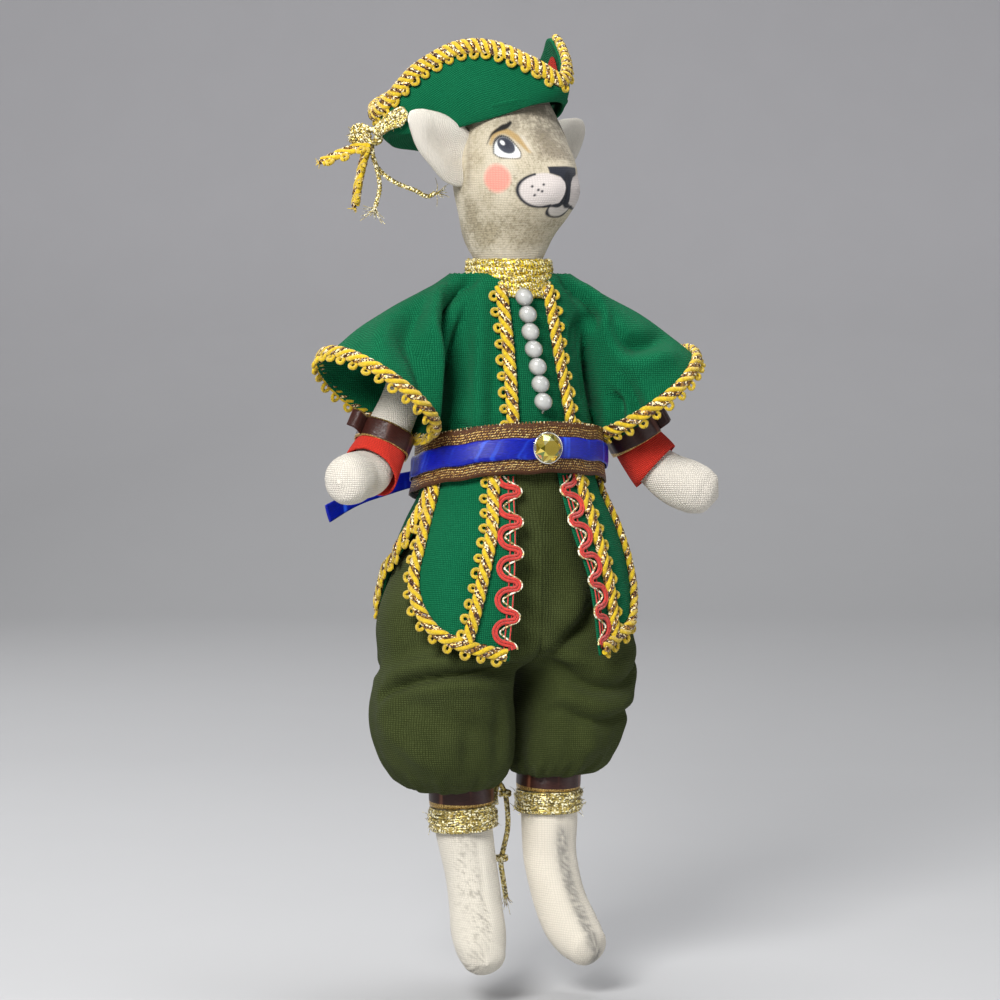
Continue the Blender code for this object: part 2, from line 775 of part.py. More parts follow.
def hat_point(angle, up, out=0.0):
    """The turned-up brim: up 0 is its fold, up 1 its top edge; angle 0 is the front corner."""
    radius = hat_radius(angle) + out + 1.2 * up
    forward, left = radius * cos(angle), radius * sin(angle)
    height = up * hat_height(angle)
    f = forward * cos(HAT_TILT) - height * sin(HAT_TILT) - HAT_BACK
    z = HAT_Z + forward * sin(HAT_TILT) + height * cos(HAT_TILT)
    return Vector((left, -f, z))


def crown_edge(angle):
    """Where the brim meets the crown: an oval round the head, just outside the crown."""
    middle, long, wide = -0.6, 14.8, 12.2
    fold = hat_point(angle, 0)
    bearing = atan2(fold.x / wide, (-fold.y - middle) / long)
    f = middle + long * cos(bearing)
    tilt = sin(HAT_TILT) / cos(HAT_TILT)
    return Vector((wide * sin(bearing), -f, HAT_Z + (f + HAT_BACK) * tilt + 0.3))


def hat(group, parent):
    rows = []
    for z, forward, long, wide in CROWN:
        rows.append(ring(z, wide, long, 24, -forward))
    sheet("hat_crown", rows, CLOTH, group, parent, green_cotton(), closed=True, capped=True)
    angles = [TAU * k / 42 for k in range(42)]
    rows = [[crown_edge(a) for a in angles]]
    rows += [[hat_point(a, up) for a in angles] for up in (0.0, 0.35, 0.7, 1.0)]
    sheet("hat_brim", rows, CLOTH, group, parent, green_cotton(), closed=True)
    rows = []
    for lower in (True, False):
        row = []
        for angle in angles:
            up = 1 - 3.0 / hat_height(angle) if lower else 1 + 0.5 / hat_height(angle)
            row.append(hat_point(angle, up, BRAID_OUT + 0.1))
        rows.append(row)
    sheet("hat_braid", rows, BRAID_THICK, group, parent, yellow_braid(), closed=True)


# The bow sits outside the hat's right rear corner. Points are in the hat's own frame.
BOW = (-25.4, 23.0, 184.2)
BOW_LOOPS = {
    "bow_loop_large": [(0.2, -0.7, 0.9), (-0.6, -4.6, 4.8), (-0.8, -10.0, 5.4), (-1.0, -10.6, 2.6), (-1.2, -5.2, 0.2), (0, -0.8, -0.9)],
    "bow_loop_small": [(-0.4, 0.4, 1.1), (-1.6, 2.4, 4.4), (-2.8, 4.4, 4.8), (-3.0, 4.8, 2.6), (-1.8, 2.6, 0.6), (-0.6, 0.6, -0.8)],
}
BRAID_TAILS = {
    "hat_braid_tail_upper": [(-28.4, 25.4, 182.0), (-31.4, 28.4, 180.6), (-34.0, 31.0, 179.4)],
    "hat_braid_tail_lower": [(-26.6, 25.0, 179.8), (-27.8, 26.0, 175.8), (-28.4, 26.8, 170.8)],
}
CORD_TAILS = {
    "hat_cord_tail_front": [(-22.8, 20.6, 181.6), (-20.8, 17.6, 178.0), (-17.6, 13.4, 175.4), (-13.4, 9.0, 174.4)],
    "hat_cord_tail_down": [(-24.6, 22.4, 180.8), (-23.6, 21.4, 176.4), (-23.4, 21.0, 172.0), (-24.4, 21.8, 168.0)],
}


def hat_bow(group, parent, cutters):
    """A knot with two loops of cord."""
    knot = Vector(BOW)
    mesh = bpy.data.meshes.new("hat_bow")
    work = bmesh.new()
    bmesh.ops.create_uvsphere(work, u_segments=10, v_segments=6, radius=2.0 * MM)
    work.to_mesh(mesh)
    work.free()
    bow = place(bpy.data.objects.new("hat_bow", mesh), group, parent, gold_cord())
    bow.location = knot * MM
    for name, points in BOW_LOOPS.items():
        route = smooth_path([knot + Vector(p) for p in points], 14)
        loop = tube_mesh(name, [(*p, 0.75) for p in route], cutters, parent, gold_cord(), 1)
        boolean(bow, loop, "UNION")


def hat_ends(group, parent):
    for name, points in BRAID_TAILS.items():
        tube(name, [(*p, 1.3) for p in smooth_path(points, 6)], group, parent, yellow_braid(), 2)
    for name, points in CORD_TAILS.items():
        tube(name, [(*p, 0.7) for p in smooth_path(points, 9)], group, parent, gold_cord(), 2)


# The cord leaves the right boot's winding, is knotted once and hangs between the boots.
BOOT_CORD_TAIL = [
    (-2.0, 3.0, 36.0),
    (-1.6, 4.2, 38.6),
    (-0.5, 4.8, 40.6),
    (0.9, 5.0, 38.6),
    (1.7, 5.0, 34.6),
    (1.9, 5.2, 30.0),
    (1.2, 5.6, 26.0),
    (0.6, 6.0, 22.4),
    (1.3, 6.4, 18.6),
    (2.2, 6.8, 14.2),
]



def build():
    clear_scene()
    group, cutters = collection("puppet"), collection("cutters")
    cutters.hide_render = True
    root = bpy.data.objects.new("puppet_at_nape", None)
    group.objects.link(root)
    root.location = Vector(NAPE) * -MM
    neck = bpy.data.objects.new("neck_turn", None)
    group.objects.link(neck)
    neck.parent = root
    neck.rotation_euler = (0, 0, HEAD_TURN)

    torso(group, root, cutters)
    joint_thread("shoulder_thread", SHOULDER, 27.4, group, root)
    joint_thread("hip_thread", HIP, 17.8, group, root)
    bodice(group, root, cutters)
    for side in (-1, 1):
        name = "left" if side > 0 else "right"
        front_panel(side, group, root)
        heights = np.linspace(152.0, SKIRT_FRONT_Z + 4.6, 20)
        line = [(side * coat_angle(between(BRAID_LINE, z)[0], z), z) for z in heights]
        coat_strip("coat_braid_" + name, line, 3.0, BRAID_OUT, BRAID_THICK, group, root, yellow_braid())
        heights = np.linspace(105.6, SKIRT_FRONT_Z + 4.8, 8)
        line = [(side * coat_angle(between(FRONT_EDGE, z)[0] + 2.4, z), z) for z in heights]
        coat_strip("red_braid_" + name, line, RED_BRAID_WIDTH - 0.6, BRAID_OUT, BRAID_THICK, group, root, red_braid())
        hem = [(side * angle, z) for angle, z in front_hem_route()]
        coat_strip("hem_braid_" + name, hem, BRAID_WIDTH, BRAID_OUT, BRAID_THICK, group, root, yellow_braid())
    back_panel(group, root)
    coat_strip("hem_braid_back", back_hem_route(), BRAID_WIDTH, BRAID_OUT, BRAID_THICK, group, root, yellow_braid())
    low, high = COLLAR_Z
    collar_rows = [ring(z, 9.95, 9.95, 24) for z in (low + 2.4, high)]
    sheet("collar_band", collar_rows, 0.9, group, root, yellow_braid(), closed=True)
    belt(group, root)
    sash_end(group, root)
    belt_gem(group, root)
    pearls(group, root)
    seat(group, root)
    for side in (-1, 1):
        arm(side, group, root, cutters)
        leg(side, group, root, cutters)
    tube("boot_cord_tail", [(*p, 0.6) for p in smooth_path(BOOT_CORD_TAIL, 14)], group, root, gold_cord(), 2)

    head(group, neck)
    for side in (-1, 1):
        ear(side, group, neck)
    band_turn = bpy.data.objects.new("hat_turn", None)
    group.objects.link(band_turn)
    band_turn.parent = neck
    band_turn.rotation_euler = (0, 0, HAT_TURN)
    hat(group, band_turn)
    hat_bow(group, band_turn, cutters)
    hat_ends(group, band_turn)


build()
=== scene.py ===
"""The look of the cloth puppet: its coat, breeches, hat, painted head, trims and cords.

Every shape is worked out in millimetres above the puppet's toes, with the puppet facing -Y and its
left hand at +X, and is moved to the frame's origin at the nape when its mesh is made.
"""

from math import asin, ceil, cos, pi, radians, sin

import bmesh
import bpy
import numpy as np
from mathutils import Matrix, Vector, noise


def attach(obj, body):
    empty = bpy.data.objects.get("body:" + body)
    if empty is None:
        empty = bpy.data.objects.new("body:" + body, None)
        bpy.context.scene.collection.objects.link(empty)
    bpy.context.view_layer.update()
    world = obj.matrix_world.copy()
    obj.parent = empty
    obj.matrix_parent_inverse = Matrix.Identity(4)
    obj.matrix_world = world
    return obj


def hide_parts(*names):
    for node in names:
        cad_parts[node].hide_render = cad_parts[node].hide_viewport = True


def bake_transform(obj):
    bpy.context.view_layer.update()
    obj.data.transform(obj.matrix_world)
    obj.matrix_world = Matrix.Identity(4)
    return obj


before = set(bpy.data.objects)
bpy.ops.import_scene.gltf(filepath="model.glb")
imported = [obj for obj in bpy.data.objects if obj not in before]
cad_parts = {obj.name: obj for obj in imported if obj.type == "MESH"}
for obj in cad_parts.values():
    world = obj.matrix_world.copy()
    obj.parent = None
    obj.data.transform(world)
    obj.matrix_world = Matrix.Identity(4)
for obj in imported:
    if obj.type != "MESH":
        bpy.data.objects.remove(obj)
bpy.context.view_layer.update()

MM = 0.001
TAU = 2 * pi
NAPE = np.array([0.0, 10.4, 154.0])
SIDES = ((-1, "right"), (1, "left"))
HEAD_TURN = radians(17)
HAT_TURN = radians(25)
RNG = np.random.default_rng(7)
noise.seed_set(7)

# ---------------------------------------------------------------- meshes


def to_row(points):
    return (np.asarray(points, float) - NAPE) * MM


def turned(points, angle):
    """Points turned about the neck."""
    points = np.asarray(points, float)
    c, s = cos(angle), sin(angle)
    x, y = points[..., 0], points[..., 1]
    return np.stack([c * x - s * y, s * x + c * y, points[..., 2]], -1)


class Heap:
    """Vertices, faces and their corners' texture coordinates, gathered before they become one mesh."""

    def __init__(self):
        self.points, self.faces, self.uvs, self.count = [], [], [], 0

    def add(self, points, faces, uvs):
        self.points.append(np.asarray(points, float).reshape(-1, 3))
        self.faces += [tuple(int(k) + self.count for k in face) for face in faces]
        self.uvs.append(np.asarray(uvs, float).reshape(-1, 2))
        self.count += len(self.points[-1])

    def grid(self, points, closed=False, flip=False, scale=(1, 1)):
        """A surface through rows of points. Its texture coordinates are lengths along rows and columns."""
        points = np.asarray(points, float)
        rows, cols = points.shape[:2]
        wide = np.concatenate([points, points[:, :1]], 1) if closed else points
        u = np.zeros(wide.shape[:2])
        v = np.zeros(wide.shape[:2])
        u[:, 1:] = np.cumsum(np.linalg.norm(np.diff(wide, axis=1), axis=2), 1)
        v[1:] = np.cumsum(np.linalg.norm(np.diff(wide, axis=0), axis=2), 0)
        uv = np.stack([u * scale[0], v * scale[1]], -1)
        i, j = np.meshgrid(np.arange(rows - 1), np.arange(wide.shape[1] - 1), indexing="ij")
        i, j = i.ravel(), j.ravel()
        corners = [(i, j), (i, j + 1), (i + 1, j + 1), (i + 1, j)]
        if flip:
            corners.reverse()
        faces = np.stack([a * cols + b % cols for a, b in corners], 1)
        self.add(points, faces, np.stack([uv[a, b] for a, b in corners], 1))

    def fan(self, ring, flip=False):
        """Closes a ring of points with one face."""
        ring = np.asarray(ring, float)
        order = range(len(ring))
        self.add(ring, [tuple(reversed(order)) if flip else tuple(order)], np.zeros((len(ring), 2)))

    def tube(self, path, radius, sides=8, flat=1.0, caps=True):
        """A round or flattened cord along a path."""
        path = np.asarray(path, float)
        along = unit(np.gradient(path, axis=0))
        side = unit(np.cross(along, carried(along)))
        up = np.cross(side, along)
        radius = np.broadcast_to(np.asarray(radius, float), (len(path),))[:, None, None]
        a = np.linspace(0, TAU, sides, endpoint=False)[None, :, None]
        rings = path[:, None] + radius * (np.cos(a) * side[:, None] + flat * np.sin(a) * up[:, None])
        self.grid(rings, closed=True, flip=True)
        if caps:
            self.fan(rings[0])
            self.fan(rings[-1], flip=True)


def unit(v):
    return v / np.maximum(np.linalg.norm(v, axis=-1, keepdims=True), 1e-9)


def carried(along):
    """A direction across a path, carried along it without twisting."""
    start = np.array([0, 0, 1.0]) if abs(along[0][2]) < 0.9 else np.array([0, 1.0, 0])
    found = [unit(start - along[0] * np.dot(start, along[0]))]
    for t in along[1:]:
        last = found[-1]
        found.append(unit(last - t * np.dot(last, t)))
    return np.array(found)


def ring_faces(rows, cols):
    """The faces between closed rings of points."""
    index = np.arange(rows * cols).reshape(rows, cols)
    step = np.roll(index, -1, 1)
    return np.stack([index[:-1], index[1:], step[1:], step[:-1]], -1).reshape(-1, 4)


def mesh_of(name, heap, smooth=True):
    points = to_row(np.concatenate(heap.points))
    mesh = bpy.data.meshes.new(name)
    mesh.from_pydata(points.tolist(), [], heap.faces)
    layer = mesh.uv_layers.new(name="cloth")
    layer.data.foreach_set("uv", np.concatenate(heap.uvs).ravel())
    if smooth:
        mesh.shade_smooth()
    mesh.update()
    return mesh


def place(name, data, finish, body=None, stands_for=()):
    """Puts a piece in the scene, in its finish, on its body."""
    obj = bpy.data.objects.new(name, data)
    bpy.context.scene.collection.objects.link(obj)
    obj.data.materials.append(finish)
    if body:
        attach(obj, body)
    if stands_for:
        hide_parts(*stands_for)
    return obj


def piece(name, heap, finish, body=None, stands_for=(), smooth=True):
    return place(name, mesh_of(name, heap, smooth), finish, body, stands_for)


def solidify(obj, thick, offset=-1):
    """Gives a cloth its thickness, and keeps the result in the mesh."""
    modifier = obj.modifiers.new("Thickness", "SOLIDIFY")
    modifier.thickness = thick * MM
    modifier.offset = offset
    bake(obj)


def bake(obj):
    """Keeps what the modifiers make as the object's own mesh."""
    graph = bpy.context.evaluated_depsgraph_get()
    graph.update()
    mesh = bpy.data.meshes.new_from_object(obj.evaluated_get(graph))
    obj.modifiers.clear()
    obj.data = mesh


# ---------------------------------------------------------------- curves


def hermite(x, stations, values):
    """A smooth curve through values at stations."""
    stations, values = np.asarray(stations, float), np.asarray(values, float)
    slope = np.gradient(values, stations)
    x = np.clip(x, stations[0], stations[-1])
    i = np.clip(np.searchsorted(stations, x, side="right") - 1, 0, len(stations) - 2)
    h = stations[i + 1] - stations[i]
    t = (x - stations[i]) / h
    a = (2 * t**3 - 3 * t**2 + 1) * values[i] + (t**3 - 2 * t**2 + t) * h * slope[i]
    return a + (3 * t**2 - 2 * t**3) * values[i + 1] + (t**3 - t**2) * h * slope[i + 1]


def table_at(table, x):
    return [hermite(x, [r[0] for r in table], [r[k] for r in table]) for k in range(1, len(table[0]))]


def smooth_path(points, count):
    """count points, evenly spaced, along a smooth curve through the given ones."""
    points = np.asarray(points, float)
    steps = steps_of(points)
    fine = np.linspace(0, steps[-1], count * 6)
    curve = np.stack([hermite(fine, steps, points[:, k]) for k in range(3)], 1)
    return resample(curve, count)


def resample(path, count):
    path = np.asarray(path, float)
    steps = steps_of(path)
    at = np.linspace(0, steps[-1], count)
    return np.stack([np.interp(at, steps, path[:, k]) for k in range(path.shape[1])], 1)


def length_of(path):
    return float(steps_of(path)[-1])


def steps_of(path):
    """The length along a path at each of its points."""
    return np.r_[0, np.cumsum(np.linalg.norm(np.diff(path, axis=0), axis=1))]


def bump_of(x):
    """1 at 0, falling smoothly to 0 at 1 and beyond."""
    x = np.clip(np.abs(x), 0, 1)
    return (1 - x * x) ** 2


def crease(points, normals, line, width, depth):
    """Pushes cloth in (depth below 0) or out along a line, most at its middle."""
    line = smooth_path(line, 24)
    nearest = [np.argmin(((points - p) ** 2).sum(1)) for p in line]
    line = points[nearest]
    for _ in range(2):
        line[1:-1] = (line[:-2] + 2 * line[1:-1] + line[2:]) / 4
    near = np.full(len(points), 1e9)
    where = np.zeros(len(points))
    for k in range(len(line) - 1):
        a, b = line[k], line[k + 1]
        t = np.clip(((points - a) @ (b - a)) / max((b - a) @ (b - a), 1e-6), 0, 1)
        gap = np.linalg.norm(points - a - t[:, None] * (b - a), axis=1)
        closer = gap < near
        near[closer] = gap[closer]
        where[closer] = (k + t[closer]) / (len(line) - 1)
    fade = np.sin(np.clip(0.12 + 0.76 * where, 0, 1) * pi)
    return points + normals * (depth * fade * np.exp(-((near / width) ** 2)))[:, None]


def wander(points, size, amount, seed=0.0):
    """Soft unevenness, as hand sewing and stuffing leave."""
    shift = Vector((seed, seed * 0.7, seed * 1.3))
    return np.array([noise.noise_vector(Vector(p) / size + shift)[:] for p in points]) * amount


# ---------------------------------------------------------------- finishes


def shaded(colour, factor, lift=0.0):
    """A colour made darker or lighter, no channel past 1."""
    return tuple(min(1.0, c * factor + lift) for c in colour)


class Finish:
    """A material under construction, with short names for the nodes that the finishes share."""

    def __init__(self, name, **settings):
        self.material = bpy.data.materials.new(name)
        self.material.use_nodes = True
        self.tree = self.material.node_tree
        self.shader = self.tree.nodes["Principled BSDF"]
        for key, value in settings.items():
            self.shader.inputs[key.replace("_", " ")].default_value = value

    def node(self, kind, **settings):
        made = self.tree.nodes.new(kind)
        for key, value in settings.items():
            setattr(made, key, value)
        return made

    def put(self, socket, value):
        if isinstance(value, bpy.types.NodeSocket):
            self.tree.links.new(value, socket)
        elif value is not None:
            socket.default_value = value

    def math(self, operation, a, b=None, c=None):
        made = self.node("ShaderNodeMath", operation=operation)
        for socket, value in zip(made.inputs, (a, b, c)):
            self.put(socket, value)
        return made.outputs[0]

    def mix(self, factor, a, b, blend="MIX"):
        made = self.node("ShaderNodeMix", data_type="RGBA", blend_type=blend)
        self.put(made.inputs["Factor"], factor)
        for socket, value in ((made.inputs[6], a), (made.inputs[7], b)):
            self.put(socket, (*value, 1) if isinstance(value, tuple) and len(value) == 3 else value)
        return made.outputs[2]

    def ramp(self, value, low, high, to_low=0.0, to_high=1.0):
        made = self.node("ShaderNodeMapRange", interpolation_type="SMOOTHSTEP")
        for socket, number in zip(made.inputs, (value, low, high, to_low, to_high)):
            self.put(socket, number)
        return made.outputs[0]

    def where(self, kind="Object"):
        return self.node("ShaderNodeTexCoord").outputs[kind]

    def parts(self, vector):
        """The x, y and z of a vector."""
        made = self.node("ShaderNodeSeparateXYZ")
        self.put(made.inputs[0], vector)
        return made.outputs

    def scaled(self, vector, scale):
        made = self.node("ShaderNodeMapping")
        self.put(made.inputs["Vector"], vector)
        made.inputs["Scale"].default_value = scale if isinstance(scale, tuple) else (scale,) * 3
        return made.outputs[0]

    def noise(self, vector, scale, detail=3.0, rough=0.5):
        """Noise, scale in waves to the unit of the vector."""
        made = self.node("ShaderNodeTexNoise")
        self.put(made.inputs["Vector"], vector)
        made.inputs["Scale"].default_value = scale
        made.inputs["Detail"].default_value = detail
        made.inputs["Roughness"].default_value = rough
        return made.outputs["Fac"]

    def bump(self, height, distance, strength=1.0, after=None):
        made = self.node("ShaderNodeBump")
        made.inputs["Strength"].default_value = strength
        made.inputs["Distance"].default_value = distance
        self.put(made.inputs["Height"], height)
        if after is not None:
            self.put(made.inputs["Normal"], after)
        return made.outputs[0]

    def colour(self, value):
        self.put(self.shader.inputs["Base Color"], value)

    def normal(self, value):
        self.put(self.shader.inputs["Normal"], value)

    def threads(self, pitch, wobble=0.12):
        """The cloth's own lengths, and a plain weave's product of waves and height on them."""
        uv = self.where("UV")
        drift = self.node("ShaderNodeTexNoise")
        self.put(drift.inputs["Vector"], uv)
        drift.inputs["Scale"].default_value = 0.35
        drift.inputs["Detail"].default_value = 2.0
        moved = self.node("ShaderNodeVectorMath", operation="MULTIPLY_ADD")
        self.put(moved.inputs[0], drift.outputs["Color"])
        moved.inputs[1].default_value = (wobble * 4, wobble * 4, 0)
        self.put(moved.inputs[2], uv)
        u, v, _ = self.parts(moved.outputs[0])
        across = self.math("SINE", self.math("MULTIPLY", u, pi / pitch))
        down = self.math("SINE", self.math("MULTIPLY", v, pi / pitch))
        product = self.math("MULTIPLY", across, down)
        height = self.math("POWER", self.math("ABSOLUTE", product), 0.6)
        return uv, product, height


def woven(name, colour, pitch=0.45, shade=0.25, slub=0.18, depth=0.00006, sheen=0.03, patchy=0.1):
    """Plain woven cloth: threads over and under, slubs along them, colour that varies a little, and painted shade
    in the hollows between the threads with painted light on their crests.
    """
    f = Finish(name, Roughness=0.9, Sheen_Weight=sheen, Sheen_Roughness=0.4, Specular_IOR_Level=0.05)
    uv, product, height = f.threads(pitch)
    # Painted shade and light: the weave's hollows are painted darker and its crests lighter; shade sets how much.
    base = f.mix(f.ramp(height, 0.1, 0.9), shaded(colour, 1 - shade), shaded(colour, 1 + 0.5 * shade, 0.01))
    run = f.noise(f.scaled(uv, (0.5, 4.0, 1.0)), 1.0, 2.0)
    cross = f.noise(f.scaled(uv, (4.0, 0.5, 1.0)), 1.0, 2.0)
    over = f.ramp(product, -0.2, 0.2)
    slubs = f.node("ShaderNodeMix", data_type="FLOAT")
    f.put(slubs.inputs["Factor"], over)
    f.put(slubs.inputs[2], run)
    f.put(slubs.inputs[3], cross)
    base = f.mix(f.ramp(slubs.outputs[0], 0.35, 0.7, 0, slub), base, shaded(colour, 0.45))
    broad = f.noise(f.where(), 60.0, 3.0)
    base = f.mix(f.ramp(broad, 0.4, 0.7, 0, patchy), base, shaded(colour, 1.5, 0.02))
    f.colour(base)
    lift = f.math("ADD", height, f.math("MULTIPLY", slubs.outputs[0], 0.5))
    f.normal(f.bump(lift, depth * 10, 0.5))
    return f


def satin(name, colour, glow, edge, width, shine):
    """Satin ribbon: fine ribs along its length, long painted highlight streaks in the glow colour, and metal
    threads along both edges if edge is a colour.
    """
    f = Finish(name, Roughness=shine, Specular_IOR_Level=0.35, Anisotropic=0.5)
    _, v, _ = f.parts(f.where("UV"))
    ribs = f.math("SINE", f.math("MULTIPLY", v, TAU / 0.22))
    fine = f.noise(f.scaled(f.where("UV"), (0.8, 9.0, 1.0)), 1.0, 3.0)
    base = f.mix(f.ramp(fine, 0.3, 0.7), shaded(colour, 0.6), shaded(colour, 1.35))
    # Painted highlight: long streaks along the ribbon take the glow colour, as where light catches its folds.
    highlight_streaks = f.noise(f.scaled(f.where("UV"), (0.3, 0.03, 1.0)), 1.0, 2.0)
    base = f.mix(f.ramp(highlight_streaks, 0.54, 0.72), base, glow)
    if edge:
        mid = f.math("ABSOLUTE", f.math("SUBTRACT", v, width / 2))
        at_edge = f.math("GREATER_THAN", mid, width / 2 - 0.3)
        spark = f.noise(f.where("UV"), 3.0, 4.0, 0.7)
        metal = f.mix(f.ramp(spark, 0.4, 0.62), (0.16, 0.07, 0.02), edge)
        base = f.mix(at_edge, base, metal)
        f.put(f.shader.inputs["Metallic"], f.math("MULTIPLY", at_edge, 0.7))
    f.colour(base)
    f.normal(f.bump(f.math("ADD", f.math("MULTIPLY", ribs, 0.4), fine), 0.00005, 0.6))
    return f


def lurex_ribbon():
    """Brown ribbon with rows of metal thread, thin and broken near its edges."""
    f = Finish("brown_lurex", Roughness=0.45, Specular_IOR_Level=0.25)
    uv = f.where("UV")
    u, v, _ = f.parts(uv)
    rows = f.math("SINE", f.math("MULTIPLY", v, TAU / 0.55))
    dashes = f.noise(f.scaled(uv, (1.3, 3.6, 1.0)), 1.0, 4.0, 0.65)
    weave = f.math("SINE", f.math("MULTIPLY", f.math("ADD", u, f.math("MULTIPLY", v, 0.6)), TAU / 0.62))
    shine = f.math("ADD", f.math("MULTIPLY", rows, 0.5), f.math("MULTIPLY", weave, 0.35))
    shine = f.math("ADD", shine, f.math("MULTIPLY", f.math("SUBTRACT", dashes, 0.5), 5.0))
    middle = f.math("ABSOLUTE", f.math("SUBTRACT", v, 5.5))
    shine = f.math("SUBTRACT", shine, f.ramp(middle, 4.2, 5.4, 0.0, 1.1))
    metal = f.ramp(shine, 0.3, 0.6)
    brown = f.mix(dashes, (0.035, 0.012, 0.005), (0.12, 0.045, 0.015))
    bright = f.noise(uv, 2.2, 3.0, 0.7)
    gold = f.mix(f.ramp(bright, 0.4, 0.65), (0.5, 0.24, 0.03), (1.0, 0.82, 0.35))
    f.colour(f.mix(metal, brown, gold))
    f.put(f.shader.inputs["Metallic"], f.math("MULTIPLY", metal, 0.35))
    f.normal(f.bump(shine, 0.00012, 0.5))
    return f


def glitter(name, dark, middle, bright, shares, size):
    """Fine metal thread: each short length of it, size in millimetres, is dark, coloured or bright; the bright
    lengths are painted glints, kept from being metal.
    """
    f = Finish(name, Roughness=0.3, Specular_IOR_Level=0.6)
    cells = f.node("ShaderNodeTexVoronoi")
    cells.inputs["Scale"].default_value = 1000.0 / size
    f.put(cells.inputs["Vector"], f.where())
    split = f.node("ShaderNodeSeparateColor")
    f.put(split.inputs[0], cells.outputs["Color"])
    value = split.outputs[0]
    lit = f.ramp(value, shares[0] - 0.06, shares[0] + 0.06)
    # Painted glints: the brightest lengths, which get no metallic.
    spark = f.ramp(value, shares[1] - 0.04, shares[1] + 0.04)
    f.colour(f.mix(spark, f.mix(lit, dark, middle), bright))
    f.put(f.shader.inputs["Metallic"], f.math("MULTIPLY", f.math("SUBTRACT", lit, spark), 0.6))
    f.normal(f.bump(value, 0.00012, 0.8))
    return f


def yarn(name, colour, rough=0.75):
    """A smooth cord of many fine threads that run round it."""
    f = Finish(name, Roughness=rough, Sheen_Weight=0.3, Specular_IOR_Level=0.35)
    u, v, _ = f.parts(f.where("UV"))
    slant = f.math("ADD", v, f.math("MULTIPLY", u, 0.5))
    fibre = f.math("SINE", f.math("MULTIPLY", slant, TAU / 0.28))
    grain = f.noise(f.where(), 1500.0, 3.0, 0.6)
    base = f.mix(f.ramp(grain, 0.3, 0.7), shaded(colour, 0.72), shaded(colour, 1.12))
    # Painted shade: the grooves between the fibres are painted darker.
    f.colour(f.mix(f.ramp(fibre, -1.0, 0.2, 0.3, 0.0), base, shaded(colour, 0.45)))
    f.normal(f.bump(f.math("ADD", fibre, grain), 0.00007, 0.6))
    return f


def painted(name):
    """Linen whose colours are painted on: they are held in the mesh, and the weave shows through."""
    f = Finish(name, Roughness=0.85, Sheen_Weight=0.12, Specular_IOR_Level=0.3)
    uv, _, height = f.threads(0.5)
    paint = f.node("ShaderNodeAttribute", attribute_name="paint")
    grain = f.noise(f.scaled(uv, (1.2, 4.2, 1.0)), 1.0, 3.0, 0.65)
    cross = f.noise(f.scaled(uv, (3.6, 2.2, 1.0)), 1.0, 3.0, 0.65)
    # Painted shade: the paint is darkened in the weave's hollows and lifted on its crests.
    weave = f.mix(height, (0.84, 0.84, 0.82), (1.05, 1.04, 1.03))
    base = f.mix(0.85, paint.outputs["Color"], weave, "MULTIPLY")
    specks = f.math("ADD", f.ramp(grain, 0.52, 0.75), f.ramp(cross, 0.55, 0.78))
    amount = f.math("MULTIPLY", specks, f.math("SUBTRACT", 1.0, paint.outputs["Alpha"]))
    base = f.mix(f.math("MULTIPLY", amount, 0.6), base, (0.13, 0.11, 0.075))
    f.colour(base)
    f.normal(f.bump(f.math("ADD", height, f.math("MULTIPLY", grain, 0.6)), 0.0004, 0.3))
    return f


def pearl_finish():
    f = Finish("pearl_coat", Roughness=0.22, Coat_Weight=0.8, Coat_Roughness=0.06, Specular_IOR_Level=0.6)
    edge = f.node("ShaderNodeLayerWeight")
    edge.inputs["Blend"].default_value = 0.35
    cloud = f.noise(f.where(), 500.0, 3.0)
    body = f.mix(f.ramp(cloud, 0.3, 0.7), (0.46, 0.47, 0.455), (0.56, 0.555, 0.53))
    # Painted shade: the pearl is painted darker towards its rim, where its surface turns away from view.
    f.colour(f.mix(edge.outputs["Facing"], body, (0.15, 0.16, 0.16)))
    f.normal(f.bump(cloud, 0.00003, 0.3))
    return f


def gem_finish():
    f = Finish("stone", Roughness=0.06, Metallic=0.75, Coat_Weight=1.0, Coat_Roughness=0.02)
    tone = f.node("ShaderNodeAttribute", attribute_name="paint")
    veil = f.noise(f.where(), 300.0, 2.0)
    # The facets' colours held in the mesh are painted reflections and shade.
    f.colour(f.mix(f.ramp(veil, 0.3, 0.8, 0, 0.2), tone.outputs["Color"], (0.25, 0.2, 0.02)))
    return f


GREEN = woven("green_cloth", (0.0, 0.132, 0.052), 0.45, 0.4, 0.3, patchy=0.08)
OLIVE = woven("olive_cloth", (0.047, 0.061, 0.015), 0.45, 0.4, 0.35, patchy=0.2)
RED = woven("red_cloth", (0.62, 0.035, 0.02), 0.42, 0.3, 0.2)
LINEN = woven("cream_linen", (0.78, 0.73, 0.645), 0.45, 0.14, 0.2, depth=0.00008, patchy=0.15)
HEAD_PAINT = painted("painted_head")
LEG_PAINT = painted("painted_legs")
YELLOW = yarn("yellow_yarn", (0.82, 0.56, 0.008))
RED_YARN = yarn("red_yarn", (0.72, 0.045, 0.03))
BROWN_GOLD = glitter(
    "brown_gold_twist",
    dark=(0.045, 0.013, 0.006),
    middle=(0.48, 0.25, 0.05),
    bright=(1.0, 0.86, 0.5),
    shares=(0.52, 0.8),
    size=0.34,
)
